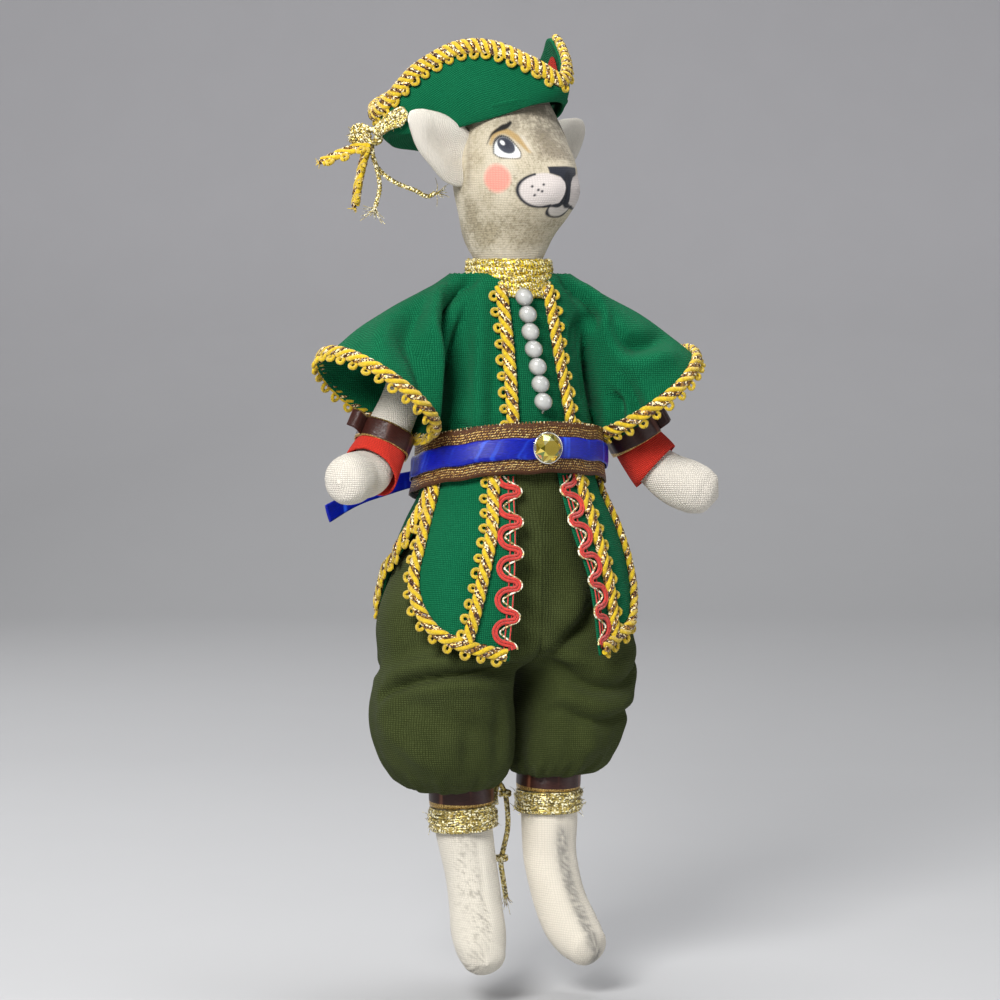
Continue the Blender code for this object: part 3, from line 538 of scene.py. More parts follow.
# Painted light and shade: on these windings and cords the dark lengths stand for shade in the gaps between fibres
# and turns, the bright ones for glints.
GOLD = glitter(
    "gold_twist",
    dark=(0.15, 0.11, 0.025),
    middle=(0.66, 0.52, 0.15),
    bright=(1.0, 0.94, 0.66),
    shares=(0.34, 0.76),
    size=0.36,
)
PALE_GOLD = glitter(
    "pale_gold_cord",
    dark=(0.22, 0.14, 0.04),
    middle=(0.70, 0.56, 0.24),
    bright=(1.0, 0.95, 0.78),
    shares=(0.25, 0.6),
    size=0.4,
)
COLLAR_GOLD = glitter(
    "collar_gold",
    dark=(0.20, 0.12, 0.008),
    middle=(0.80, 0.58, 0.012),
    bright=(1.0, 0.93, 0.5),
    shares=(0.3, 0.84),
    size=0.42,
)
# Each ribbon's glow colour is its painted highlight.
BROWN_SATIN = satin(
    "brown_satin",
    colour=(0.040, 0.011, 0.008),
    glow=(0.34, 0.12, 0.065),
    edge=(0.85, 0.60, 0.2),
    width=4.6,
    shine=0.3,
)
BLUE_SATIN = satin(
    "blue_satin_ribbon",
    colour=(0.001, 0.008, 0.32),
    glow=(0.03, 0.13, 0.92),
    edge=None,
    width=4.4,
    shine=0.32,
)
LUREX = lurex_ribbon()
PEARL = pearl_finish()
STONE = gem_finish()
THREAD = yarn("sewing_thread", (0.70, 0.68, 0.62))

# ---------------------------------------------------------------- camera, light and floor


def look_at(obj, target):
    obj.rotation_euler = (Vector(target) - obj.location).to_track_quat("-Z", "Y").to_euler()


VIEW_TURN = radians(-25)


def camera():
    """Low and level, from the puppet's right front."""
    azimuth, elevation, distance = VIEW_TURN, radians(3.0), 0.75
    sensor, seen_width = 36, 0.2226
    right = Vector((cos(azimuth), sin(azimuth), 0))
    target = Vector(to_row((0, 0, 104.4))) - right * 2.2 * MM
    towards = Vector((sin(azimuth) * cos(elevation), -cos(azimuth) * cos(elevation), sin(elevation)))
    data = bpy.data.cameras.new("camera")
    data.lens = sensor * distance / seen_width
    made = bpy.data.objects.new("camera", data)
    bpy.context.scene.collection.objects.link(made)
    made.location = target + towards * distance
    look_at(made, target)
    bpy.context.scene.camera = made


def area_light(name, place_mm, target_mm, size, power, colour=(1, 1, 1)):
    data = bpy.data.lights.new(name, "AREA")
    data.size = size
    data.energy = power
    data.color = colour
    made = bpy.data.objects.new(name, data)
    bpy.context.scene.collection.objects.link(made)
    made.location = to_row(place_mm)
    look_at(made, to_row(target_mm))


def studio():
    """A pale floor that curves up into a plain backdrop, the paper painted lighter as it rises as painted light,
    and soft light from above and both sides.
    """
    profile = [(-14000, 0), (-900, 0), (350, 0), (560, 10), (760, 60), (900, 170), (960, 330), (980, 1500)]
    profile = smooth_path([(0, a, b) for a, b in profile], 60)
    sides = np.linspace(-9000, 9000, 5)
    rows = np.array([[(x, p[1], p[2]) for x in sides] for p in profile])
    heap = Heap()
    heap.grid(turned(rows, VIEW_TURN))
    f = Finish("floor_paper", Roughness=0.6, Specular_IOR_Level=0.25)
    grain = f.noise(f.where(), 40.0, 3.0)
    # Painted light: one sheet of paper, painted darker on the floor and lighter up the backdrop to stand in for
    # how the light falls on it.
    rise = f.ramp(f.parts(f.where())[2], -0.16, 0.06)
    shade = f.mix(rise, (0.49, 0.494, 0.505), (0.64, 0.636, 0.665))
    f.colour(f.mix(f.ramp(grain, 0.3, 0.7, 0, 0.04), shade, (0.42, 0.42, 0.435)))
    mesh = mesh_of("floor", heap)
    floor = bpy.data.objects.new("floor", mesh)
    floor.data.materials.append(f.material)
    bpy.context.scene.collection.objects.link(floor)
    area_light("key", (-430, -420, 480), (0, 0, 110), 0.26, 6.3, (1.0, 0.99, 0.97))
    area_light("fill", (560, -460, 260), (0, 0, 100), 0.42, 1.2, (0.98, 0.99, 1.0))
    area_light("top", (60, 60, 720), (0, 0, 100), 0.36, 3.1)
    area_light("rim", (-160, 460, 380), (0, 0, 120), 0.35, 1.0)
    world = bpy.data.worlds.new("world")
    bpy.context.scene.world = world
    world.use_nodes = True
    world.node_tree.nodes["Background"].inputs[0].default_value = (0.64, 0.64, 0.66, 1)
    world.node_tree.nodes["Background"].inputs[1].default_value = 0.18
    bpy.context.scene.view_settings.view_transform = "Standard"


# ---------------------------------------------------------------- trims


def framed(path, normals, spacing):
    """An evenly spaced path with its normals and the direction across it."""
    count = max(4, int(ceil(length_of(path) / spacing)) + 1)
    both = resample(np.concatenate([path, normals], 1), count)
    path, normals = both[:, :3], unit(both[:, 3:])
    along = unit(np.gradient(path, axis=0))
    side = unit(np.cross(normals, along))
    return path, normals, side, along


BRAID_PITCH = 3.55
BRAID_FINISHES = (YELLOW, BROWN_GOLD)


def braid(
    name,
    path,
    normals,
    body,
    stands_for,
    picots=1,
    width=1.0,
    lift=0.55,
    pitch=BRAID_PITCH,
    turns=0.5,
    blend=None,
    finishes=BRAID_FINISHES,
):
    """Two yellow and two brown and gold strands laid into a flat rope, a row of yellow loops along one side.

    picots gives that side, or 0 for none; turns is the strands' turns in one pitch of the loops.
    """
    path, normals, side, along = framed(np.asarray(path), np.asarray(normals), 0.24)
    steps = steps_of(path)
    loops = max(1, round(steps[-1] / pitch))
    lean = 1 if picots >= 0 else -1
    phase = lean * TAU * turns * loops * steps / steps[-1]
    yellow, gold = Heap(), Heap()
    for quarter in range(4):
        a = phase + quarter * 0.5 * pi
        line = path + side * (0.86 * width * np.cos(a))[:, None] + normals * (lift + 0.4 * np.sin(a))[:, None]
        (yellow, gold)[quarter % 2].tube(line, 0.60 * width, 8)
    if picots:
        for k in range(loops):
            i = int(round((k + 0.5) / loops * (len(path) - 1)))
            size = 0.80 + 0.07 * sin(k * 2.3)
            centre = path[i] + side[i] * picots * (1.78 + 0.08 * sin(k * 1.7)) + normals[i] * 0.45
            a = np.linspace(0, TAU, 15)[:, None]
            ring = centre + size * (np.cos(a) * side[i] + np.sin(a) * along[i] * (0.95 + 0.1 * cos(k * 3.1)))
            ring = ring + normals[i] * 0.14 * np.sin(a * 2 + k)
            yellow.tube(ring, 0.43, 6, caps=False)
    first = piece(name, yellow, finishes[0].material, body, stands_for)
    second = piece(name + "_gold", gold, finishes[1].material, body)
    if blend:
        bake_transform(first)
        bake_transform(second)


RED_PITCH = 6.9
# Half a repeat as (across the braid, share of the pitch): a wide lobe on the outer side, a tight turn at the
# edge. The other half is its mirror image.
RED_HALF = [(-2.2, 0.0), (-1.95, 0.14), (-1.2, 0.27), (-0.1, 0.34), (1.0, 0.36), (1.9, 0.4), (2.25, 0.5)]
RED_REPEAT = RED_HALF + [(x, 1.0 - t) for x, t in RED_HALF[-2:0:-1]]
GOLD_REPEAT = [(-1.0, 0.0), (0.3, 0.17), (1.6, 0.28), (2.7, 0.38), (3.05, 0.5)]
GOLD_REPEAT += [(2.7, 0.62), (1.6, 0.72), (0.3, 0.83)]


def meander(name, path, normals, side_sign, body, stands_for):
    """A pair of red cords in S bends, and a thin gold cord that fills their lobes past the coat's edge."""
    path, normals, side, _ = framed(np.asarray(path), np.asarray(normals), 0.2)
    side = side * side_sign
    total = length_of(path)
    repeats = int(total / RED_PITCH)
    steps = np.linspace(0, total, len(path))

    def line(table, height):
        points = [(x, (k + t) * RED_PITCH) for k in range(repeats + 1) for x, t in table]
        points = np.array([p for p in points if p[1] < total - 0.3])
        route = smooth_path(np.concatenate([points, 0 * points[:, :1]], 1), max(30, len(points) * 7))
        centre, across, up = (
            np.stack([np.interp(route[:, 1], steps, part[:, k]) for k in range(3)], 1)
            for part in (path, side, normals)
        )
        return centre + across * route[:, :1] + up * height, up

    red, gold = Heap(), Heap()
    centre, up = line(RED_REPEAT, 0.42)
    across = unit(np.cross(up, unit(np.gradient(centre, axis=0))))
    for offset in (-0.33, 0.33):
        red.tube(centre + across * offset, 0.34, 7)
    for lateral in (0.15, 1.25):
        bar = path + side * lateral + normals * 0.16
        red.tube(bar[::2], 0.17, 5)
    centre, up = line(GOLD_REPEAT, 0.30)
    gold.tube(centre, 0.24, 6)
    piece(name, red, RED_YARN.material, body, stands_for)
    piece(name + "_gold", gold, PALE_GOLD.material, body)


def frayed(heap, start, along, reach, count, spread, radius=0.11):
    """A cord's loose end: fine strands that part from each other."""
    along = unit(np.asarray(along, float))
    for _ in range(count):
        away = unit(along + RNG.normal(0, spread, 3))
        curl = RNG.normal(0, 0.35, 3) * reach * 0.4
        t = np.linspace(0, 1, 7)[:, None]
        line = np.asarray(start, float) + (along * (1 - t) + away * t) * t * reach * RNG.uniform(0.7, 1.1)
        heap.tube(line + curl * t * t, radius * (1.05 - 0.6 * t[:, 0]), 4)


def two_ply(heap, path, radius, pitch=1.5):
    """A cord of two strands twisted round each other."""
    path = resample(path, max(8, int(length_of(path) / 0.22)))
    along = unit(np.gradient(path, axis=0))
    up = carried(along)
    side = np.cross(along, up)
    steps = steps_of(path)
    for start in (0, pi):
        a = (TAU * steps / pitch + start)[:, None]
        heap.tube(path + (side * np.cos(a) + up * np.sin(a)) * radius * 0.5, radius * 0.56, 6)


# ---------------------------------------------------------------- coat

BELT_Z, BELT_TILT = 112.7, 0.26
SKIRT_TOP_Z, SKIRT_FRONT_Z = 110.9, 68.0
COAT_THICKNESS = 0.45
# (height, half width, half depth in front, half depth behind, squareness)
COAT = [
    (66.0, 33.6, 23.6, 26.9, 2.4),
    (84.0, 30.6, 22.0, 24.3, 2.4),
    (92.0, 28.0, 20.6, 22.3, 2.3),
    (100.0, 24.3, 18.6, 19.5, 2.2),
    (106.5, 20.8, 16.4, 16.6, 2.1),
    (111.0, 19.4, 15.3, 15.3, 2.0),
    (120.0, 19.2, 15.3, 15.0, 2.0),
    (128.0, 17.4, 14.5, 13.8, 2.0),
    (136.0, 16.6, 13.0, 12.2, 2.0),
    (143.0, 16.4, 11.3, 11.0, 2.0),
    (149.0, 15.9, 9.8, 10.0, 2.0),
    (152.2, 14.6, 9.2, 9.4, 2.0),
    (153.8, 13.0, 8.8, 8.8, 2.0),
    (155.2, 9.0, 8.2, 8.2, 2.0),
]
# Lines down the coat's front as (height, distance from the centre line), for the puppet's right and left
FRONT_EDGE = {
    -1: [(66.0, 11.4), (80.0, 9.6), (96.0, 7.4), (SKIRT_TOP_Z + 2, 5.4)],
    1: [(66.0, 14.6), (70.0, 13.8), (80.0, 12.0), (89.0, 10.2), (96.0, 7.5), (SKIRT_TOP_Z + 2, 4.4)],
}
BODICE_BRAID = {
    -1: [(118.0, 6.0), (136.0, 5.9), (153.8, 6.5)],
    1: [(118.0, 8.0), (136.0, 5.7), (153.8, 3.7)],
}
SKIRT_BRAID = {
    -1: [(70.0, 21.0), (88.0, 15.7), (98.0, 12.6), (110.0, 10.0)],
    1: [(70.0, 21.4), (88.0, 16.7), (98.0, 13.3), (110.0, 9.8)],
}
# Hems as (degrees from the middle of the panel, height), and side edges as (height, degrees)
FRONT_HEM = [
    (0, 70.4),
    (18, 71.0),
    (31, 72.6),
    (42, 74.6),
    (50, 76.5),
    (57, 79.0),
    (63, 82.0),
    (68, 85.8),
    (70.5, 89.5),
]
FRONT_SIDE = [(68, 70.5), (89.5, 70.5), (94, 70.8), (99, 73), (104, 76), (113, 80)]
BACK_HEM = [(0, 73.6), (25, 73.9), (42, 75.8), (54, 78.2), (63, 80.8), (69, 83.4), (74, 87.0)]
BACK_SIDE = [(68, 74), (87.0, 74), (89.5, 80), (91.8, 89), (97.3, 97), (102, 100), (107, 101), (113, 100)]
# How much narrower the skirt hangs than the table says, at the puppet's left and behind at its right
LEFT_NARROWING, BACK_NARROWING = 0.18, 0.08


def coat_point(angle, z, out=0.0):
    """The coat's surface at an angle from the front centre, positive to the puppet's left."""
    angle, z = np.broadcast_arrays(np.asarray(angle, float), np.asarray(z, float))
    wide, front, back, power = table_at(COAT, z)
    s, c = np.sin(angle), np.cos(angle)
    depth = np.where(c > 0, front, back)
    x = (wide + out) * np.abs(s) ** (2 / power) * np.sign(s)
    x = np.where(x > 0, x * (1 - LEFT_NARROWING * np.clip((110 - z) / 36, 0, 1)), x)
    x = np.where((x < 0) & (c < 0), x * (1 - BACK_NARROWING * np.clip((110 - z) / 30, 0, 1)), x)
    y = -(depth + out) * np.abs(c) ** (2 / power) * np.sign(c)
    return np.stack([x, y, z], -1)


def coat_angle(x, z):
    """The angle of the coat's front at a distance from its centre line."""
    wide, _, _, power = table_at(COAT, z)
    return np.arcsin(np.minimum(1.0, x / wide) ** (power / 2))


def coat_route(angles, heights, out=0.0, ripple=None):
    """A path on the coat with its normals."""
    angles, heights = np.asarray(angles, float), np.asarray(heights, float)

    def at(a, z):
        point = coat_point(a, z, out)
        return point + ripple(a, z, point) if ripple else point

    here = at(angles, heights)
    turn, rise = at(angles + 0.01, heights), at(angles, heights + 0.3)
    return here, unit(np.cross(turn - here, rise - here))


def side_angle(table, z):
    return np.radians(table_at(table, z)[0])


def hem_height(table, angle):
    return table_at(table, np.degrees(np.abs(angle)))[0]


def panel_grid(top, inner, table_hem, table_side, rows, cols):
    """Angles and heights over one skirt panel, from its top edge to its hem."""
    v, u = np.meshgrid(np.linspace(0, 1, rows), np.linspace(0, 1, cols), indexing="ij")
    angle = np.zeros_like(v)
    z = np.full_like(v, top)
    for _ in range(6):
        edge_in = inner(z) if callable(inner) else np.full_like(z, inner)
        angle = edge_in + (side_angle(table_side, z) - edge_in) * u
        z = top + (hem_height(table_hem, angle) - top) * v
    return angle, z


def skirt_ripple(angle, z, point):
    """The skirt's soft waves, none at the belt and most at its hem."""
    drop = np.clip((SKIRT_TOP_Z - z) / 42, 0, 1)
    wave = 0.7 * np.sin(angle * 7 + 0.6) + 0.45 * np.sin(angle * 13 + z * 0.05)
    out = unit(np.stack([point[..., 0], point[..., 1], 0 * point[..., 2]], -1))
    return out * (wave * drop**1.5)[..., None]


def front_edge_angle(z, side):
    return coat_angle(table_at(FRONT_EDGE[side], z)[0], z)


def skirt_panel(name, angle, z, flip):
    points = coat_point(angle, z)
    points = points + skirt_ripple(angle, z, points)
    heap = Heap()
    heap.grid(points, flip=flip)
    obj = piece(name, heap, GREEN.material, "torso", ["coat_" + name])
    solidify(obj, COAT_THICKNESS)


def front_panel(side, name):
    angle, z = panel_grid(SKIRT_TOP_Z + 2.0, lambda z: front_edge_angle(z, side), FRONT_HEM, FRONT_SIDE, 70, 56)
    skirt_panel("skirt_front_" + name, side * angle, z, side > 0)


def back_panel():
    angle, z = panel_grid(SKIRT_TOP_Z + 1.0, 0.0, BACK_HEM, BACK_SIDE, 70, 60)
    angle = np.concatenate([-angle[:, ::-1], angle[:, 1:]], 1)
    z = np.concatenate([z[:, ::-1], z[:, 1:]], 1)
    skirt_panel("skirt_back", pi + angle, z, True)


def hem_route(table_hem, table_side, top, last, lift=1.3, inset=radians(2.5)):
    """Angles and heights just inside a panel's edge: down its side, round its corner and along its hem."""
    end = np.radians(table_hem[-1][0])
    low = table_hem[-1][1] + lift
    z = np.linspace(top, low, 16)
    side = side_angle(table_side, z) - inset
    angle = np.linspace(end, last, 40)[1:]
    hem = hem_height(table_hem, angle) + lift
    return np.concatenate([side, angle - inset * (angle / end) ** 4]), np.concatenate([z, hem])


def front_hem_route(side):
    last = float(front_edge_angle(SKIRT_FRONT_Z + 2, side)) + radians(1)
    angles, heights = hem_route(FRONT_HEM, FRONT_SIDE, 110.0, last)
    return coat_route(side * angles, heights, 0.1, skirt_ripple)


def back_hem_route():
    angles, heights = hem_route(BACK_HEM, BACK_SIDE, 110.0, 0.0)
    angles = np.concatenate([pi - angles, (pi + angles)[::-1][1:]])
    heights = np.concatenate([heights, heights[::-1][1:]])
    return coat_route(angles, heights, 0.1, skirt_ripple)


ARMHOLE_MIDDLE = np.array([17.9, 0.3, 143.6])
SLEEVE_MIDDLE = np.array([33.5, -2.5, 127.4])
SLEEVE_MAJOR, SLEEVE_MINOR = np.array([10.9, 2.5, 8.7]), np.array([0, -15.4, 1.5])


def sleeve_blend(side, name):
    """The stretch of the sleeve between the trunk and the arm, as their two bodies and two points along it."""
    return "torso", "arm_" + name, to_row((side * 16.5, 0, 143.5)), to_row((side * 25.0, 0, 143.5))


def sleeve_point(side, along, angle, out=0.0):
    """The bell sleeve, from its armhole (0) to its hem (1); angle 0 is the shoulder line."""
    along, angle = np.broadcast_arrays(np.asarray(along, float), np.asarray(angle, float))
    c, s = np.cos(angle)[..., None], np.sin(angle)[..., None]
    armhole = ARMHOLE_MIDDLE + c * np.array([0, 0, 8.9]) + s * np.array([0, -8.3, 0])
    hem = SLEEVE_MIDDLE + SLEEVE_MAJOR * c + SLEEVE_MINOR * s
    if side > 0:
        hem = hem + np.array([-2.4, 0, 0]) * np.maximum(0, -c)
    t = along[..., None]
    swell = 1.4 * np.sin(pi * np.clip(t, 0, 1)) * (0.5 + 0.5 * c)
    point = armhole + (hem - armhole) * t + np.array([0.5, 0, 0.9]) * swell
    if out:
        centre = ARMHOLE_MIDDLE * (1 - t) + SLEEVE_MIDDLE * t
        point = point + unit(point - centre) * out
    return point * np.array([side, 1, 1])


def union_skin(heaps, voxel, rounds):
    """One skin round several closed shapes, evened out like cloth stretched over them."""
    joined = Heap()
    for heap in heaps:
        joined.add(np.concatenate(heap.points), heap.faces, np.concatenate(heap.uvs))
    mesh = mesh_of("skin", joined)
    obj = bpy.data.objects.new("skin", mesh)
    bpy.context.scene.collection.objects.link(obj)
    remesh = obj.modifiers.new("Remesh", "REMESH")
    remesh.mode = "VOXEL"
    remesh.voxel_size = voxel * MM
    even = obj.modifiers.new("Even", "SMOOTH")
    even.factor = 0.5
    even.iterations = rounds
    bake(obj)
    mesh = obj.data
    points = np.empty(len(mesh.vertices) * 3)
    mesh.vertices.foreach_get("co", points)
    faces = np.array([tuple(p.vertices) for p in mesh.polygons if len(p.vertices) == 4])
    bpy.data.objects.remove(obj, do_unlink=True)
    return points.reshape(-1, 3) / MM + NAPE, faces


def vertex_normals(points, faces):
    quads = points[faces]
    flat = np.cross(quads[:, 2] - quads[:, 0], quads[:, 3] - quads[:, 1])
    found = np.zeros_like(points)
    for k in range(4):
        np.add.at(found, faces[:, k], flat)
    return unit(found)


def draped_uv(points, normals, faces):
    """Texture coordinates in millimetres, seen from the side that each face looks to."""
    facing = np.abs(normals[faces].mean(1))
    corner = points[faces]
    uv = np.stack([corner[..., 0], corner[..., 2]], -1)
    sideways = facing[:, 0] > np.maximum(facing[:, 1], facing[:, 2])
    level = (facing[:, 2] > facing[:, 1]) & ~sideways
    uv[sideways] = np.stack([corner[..., 1], corner[..., 2]], -1)[sideways]
    uv[level] = np.stack([corner[..., 0], corner[..., 1]], -1)[level]
    return uv


def skin_piece(name, points, normals, faces, keep, finish, slot, body=None, stands_for=()):
    """The part of a skin that keep picks, shaded as if it were still whole, its threads level and plumb."""
    chosen = faces[keep]
    used, index = np.unique(chosen, return_inverse=True)
    chosen = index.reshape(chosen.shape)
    own, own_normals = points[used], normals[used]
    heap = Heap()
    heap.add(own, chosen, draped_uv(own, own_normals, chosen))
    mesh = mesh_of(name, heap)
    mesh.normals_split_custom_set_from_vertices(own_normals.tolist())
    return place(name, mesh, finish, body, stands_for)


BODICE_SPLIT_X, SLEEVE_ROOT_X = 15.2, 21.0


def kept_outside(points):
    """Moves cloth that a fold pressed into the trunk back out to the trunk's surface."""
    wide, front, back, _ = table_at(COAT, np.clip(points[:, 2], 107, 151))
    depth = np.where(points[:, 1] < 0, front, back)
    inside = np.hypot(points[:, 0] / (wide - 0.7), points[:, 1] / (depth - 0.7))
    low = points[:, 2] < 151
    points[low, :2] *= np.maximum(1.0, 1.0 / np.maximum(inside, 0.6))[low, None]
    return points


def beyond_sleeve(points):
    """Which points are past a sleeve's hem, and by how much as (distances, vectors)."""
    hem_normal = unit(np.cross(SLEEVE_MINOR, SLEEVE_MAJOR))
    if hem_normal[2] > 0:
        hem_normal = -hem_normal
    sign = np.stack([np.sign(points[:, 0]), np.ones(len(points)), np.ones(len(points))], 1)
    distance = (points * sign - SLEEVE_MIDDLE) @ hem_normal
    past = (np.abs(points[:, 0]) > SLEEVE_ROOT_X) & (distance > 0)
    return past, (distance, hem_normal * sign * distance[:, None])


def coat_top():
    """Bodice and both sleeves as one cut of cloth, then parted where each sleeve starts to move."""
    trunk = Heap()
    angles = np.linspace(0, TAU, 96, endpoint=False)
    heights = np.r_[np.linspace(107.0, 152.0, 46), 153.2, 154.4, 155.2]
    rings = np.array([coat_point(-angles, z, 0.1) for z in heights])
    trunk.grid(rings, closed=True, flip=True)
    trunk.fan(rings[0])
    trunk.fan(rings[-1], flip=True)
    heaps = [trunk]
    for side in (-1, 1):
        sleeve = Heap()
        steps = np.linspace(-0.35, 1.16, 30)
        rings = np.array([sleeve_point(side, t, angles * side) for t in steps])
        sleeve.grid(rings, closed=True, flip=True)
        sleeve.fan(rings[0])
        sleeve.fan(rings[-1], flip=True)
        heaps.append(sleeve)
    points, faces = union_skin(heaps, 0.6, 14)
    points = coat_folds(points, vertex_normals(points, faces))
    points = points + wander(points, 9.0, 0.22, 3.0) + wander(points, 24.0, 0.5, 5.0)
    points = kept_outside(points)
    past_hem, down = beyond_sleeve(points)
    over = past_hem & (down[0] < 1.2)
    points[over] -= down[1][over]
    normals = vertex_normals(points, faces)
    centres = points[faces].mean(1)
    beyond, down = beyond_sleeve(centres)
    beyond &= down[0] > 0.02
    under_belt = BELT_Z - BELT_TILT * centres[:, 1] - 4.4
    kept = ~beyond & (centres[:, 2] > np.maximum(108.5, under_belt)) & (centres[:, 2] < 154.7)
    args = (points, normals, faces)
    middle = kept & (np.abs(centres[:, 0]) <= BODICE_SPLIT_X)
    skin_piece("bodice", *args, middle, GREEN.material, "green_cotton", "torso", ["coat_bodice"])
    for side, name in SIDES:
        part = kept & (centres[:, 0] * side > BODICE_SPLIT_X)
        flank = part & (centres[:, 0] * side < SLEEVE_ROOT_X) & (centres[:, 2] < 133)
        skin_piece("bodice_side_" + name, *args, flank, GREEN.material, "green_cotton", "torso")
        sleeve = skin_piece("sleeve_cloth_" + name, *args, part & ~flank, GREEN.material, "green_cotton")
        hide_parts("sleeve_" + name)
        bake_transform(sleeve)


def coat_folds(points, normals):
    """Drawn folds: from the collar over the shoulder, down from each armpit, and slack above the belt."""
    wider, deeper, raised = 1.15, 1.6, 1.2
    for side in (-1, 1):

        def fold(line, width, depth):
            nonlocal points
            line = [(side * x, y, z + raised) for x, y, z in line]
            points = crease(points, normals, line, width * wider, depth * deeper)

        if side < 0:
            fold(
                [(13.5, -7.0, 154), (17.0, -9.5, 149), (16.6, -12.0, 142), (19.0, -12.6, 131), (18.6, -11.5, 117)],
                1.5,
                -3.4,
            )
            fold(
                [(18.0, -6.5, 152), (23.5, -10.0, 145), (23.4, -13.5, 136), (22.4, -13.8, 127), (22.0, -12, 119)],
                1.9,
                1.9,
            )
            fold([(25.0, -7.0, 148), (30.0, -11.5, 141), (27.5, -14.5, 133), (26.5, -15.0, 124)], 2.6, -2.0)
            fold([(12.5, -9.8, 150), (13.6, -12.4, 141), (14.8, -13.6, 130), (14.6, -14.2, 118)], 1.7, 1.1)
            fold([(31.0, -6.0, 144.0), (36.0, -11.0, 137.0), (37.0, -13.5, 131)], 2.6, 1.0)
        else:
            fold(
                [(12.5, -7.5, 153), (15.2, -9.5, 149), (14.6, -12.6, 137), (17.4, -12.4, 125), (18.2, -11.0, 117)],
                1.6,
                -2.6,
            )
            fold([(17.0, -7.0, 151), (20.0, -10.5, 144), (21.5, -12.5, 135)], 2.0, 1.4)
            fold([(20.0, -8.0, 147), (23.0, -12.5, 138), (30.0, -11.5, 139), (34.0, -9.0, 140)], 1.9, -2.0)
            fold([(23.0, -13.5, 133), (29.0, -14.5, 134.5), (35.0, -12.5, 135)], 2.4, 1.3)
            fold([(21.5, -13.0, 130), (23.0, -15.0, 124), (24.0, -14.0, 120)], 1.7, -1.6)
            fold([(9.5, -11.5, 148), (10.5, -13.4, 136), (11.5, -15.0, 124)], 1.5, 0.3)
        fold([(13.0, 9.5, 149), (16.0, 11.0, 140), (17.8, 11.5, 130), (18.2, 12.0, 120)], 1.8, -2.4)
        fold([(20.5, 9.5, 146), (25.0, 12.0, 138), (28.0, 13.0, 131)], 2.2, 1.0)
        fold([(24.0, 9.0, 143), (30.0, 12.0, 136), (33.0, 12.0, 131)], 2.0, -1.2)
        fold([(9.5, -13.6, 132), (10.5, -15.0, 122), (11.0, -15.4, 117)], 1.6, -0.7)
        fold([(8.0, 12.8, 132), (9.0, 14.2, 120)], 2.2, -0.8)
    return points


def sleeve_braids():
    for side, name in SIDES:
        angle = np.linspace(0.4, TAU + 0.4, 140)
        path = sleeve_point(side, 0.955, angle, 0.35)
        outer = sleeve_point(side, 0.955, angle, 2.0)
        path = path + wander(path, 24.0, 0.5, 5.0)
        braid(
            "sleeve_edge_" + name,
            path,
            unit(outer - path),
            None,
            ["sleeve_braid_" + name],
            picots=side,
            pitch=3.4,
            blend=sleeve_blend(side, name),
        )


def coat_braids():
    for side, name in SIDES:
        heights = np.linspace(151.6, 119.6, 40)
        angles = side * coat_angle(table_at(BODICE_BRAID[side], heights)[0], heights)
        path, normals = coat_route(angles, heights, 0.45)
        path = path + wander(path, 24.0, 0.5, 5.0)
        braid("front_braid_" + name, path, normals, "torso", ["coat_braid_" + name], picots=side)
        heights = np.linspace(110.4, SKIRT_FRONT_Z + 6.6, 44)
        angles = side * coat_angle(table_at(SKIRT_BRAID[side], heights)[0], heights)
        path, normals = coat_route(angles, heights, 0.1, skirt_ripple)
        braid("skirt_braid_" + name, path, normals, "torso", (), picots=side)
        heights = np.linspace(110.4, SKIRT_FRONT_Z + 5.0, 44)
        angles = side * coat_angle(table_at(FRONT_EDGE[side], heights)[0] + (1.6 if side < 0 else 2.1), heights)
        path, normals = coat_route(angles, heights, 0.1, skirt_ripple)
        meander("front_meander_" + name, path, normals, -side, "torso", ["red_braid_" + name])
        path, normals = front_hem_route(side)
        braid("hem_edge_" + name, path, normals, "torso", ["hem_braid_" + name], picots=side)
    path, normals = back_hem_route()
    braid("hem_edge_back", path, normals, "torso", ["hem_braid_back"], picots=-1)


# ---------------------------------------------------------------- belt, beads and collar

BELT_OUT, SASH_OUT = 2.5, 3.35
SASH_TAIL = [(-3.8, 20.6, 109.4), (-12.0, 22.6, 108.6), (-23.0, 22.8, 106.2), (-36.0, 19.0, 101.2)]


def belt_ring(offset, out, angles):
    y = coat_point(angles, np.full(len(angles), BELT_Z))[:, 1]
    z = BELT_Z - BELT_TILT * y + offset
    ring = coat_point(angles, np.minimum(BELT_Z, z + 1), out)
    ring[:, 2] = z
    return ring


def belt():
    angles = np.linspace(0, TAU, 160, endpoint=False)
    wave = 0.12 * np.sin(angles * 9) + 0.1 * np.sin(angles * 17 + 1)
    for name, width, out, finish, slot in (
        ("belt_ribbon", 11.0, BELT_OUT, LUREX, "brown_ribbon"),
        ("belt_sash", 4.4, SASH_OUT, BLUE_SATIN, "blue_satin"),
    ):
        rows = [
            belt_ring(t * width + wave, out - 0.35 + 0.25 * (1 - (2 * t) ** 6), angles)
            for t in np.linspace(0.5, -0.5, 13)
        ]
        heap = Heap()
        heap.grid(rows, closed=True)
        obj = piece(name + "_cloth", heap, finish.material, "torso", [name])
        solidify(obj, 0.3)
    heap = Heap()
    for at in belt_ring(5.5, BELT_OUT - 0.2, angles):
        heap.tube([at - (0, 0, 0.3), at + (0, 0, 0.25)], 0.24, 5)
    piece("belt_edge_loops", heap, BROWN_GOLD.material, "torso")


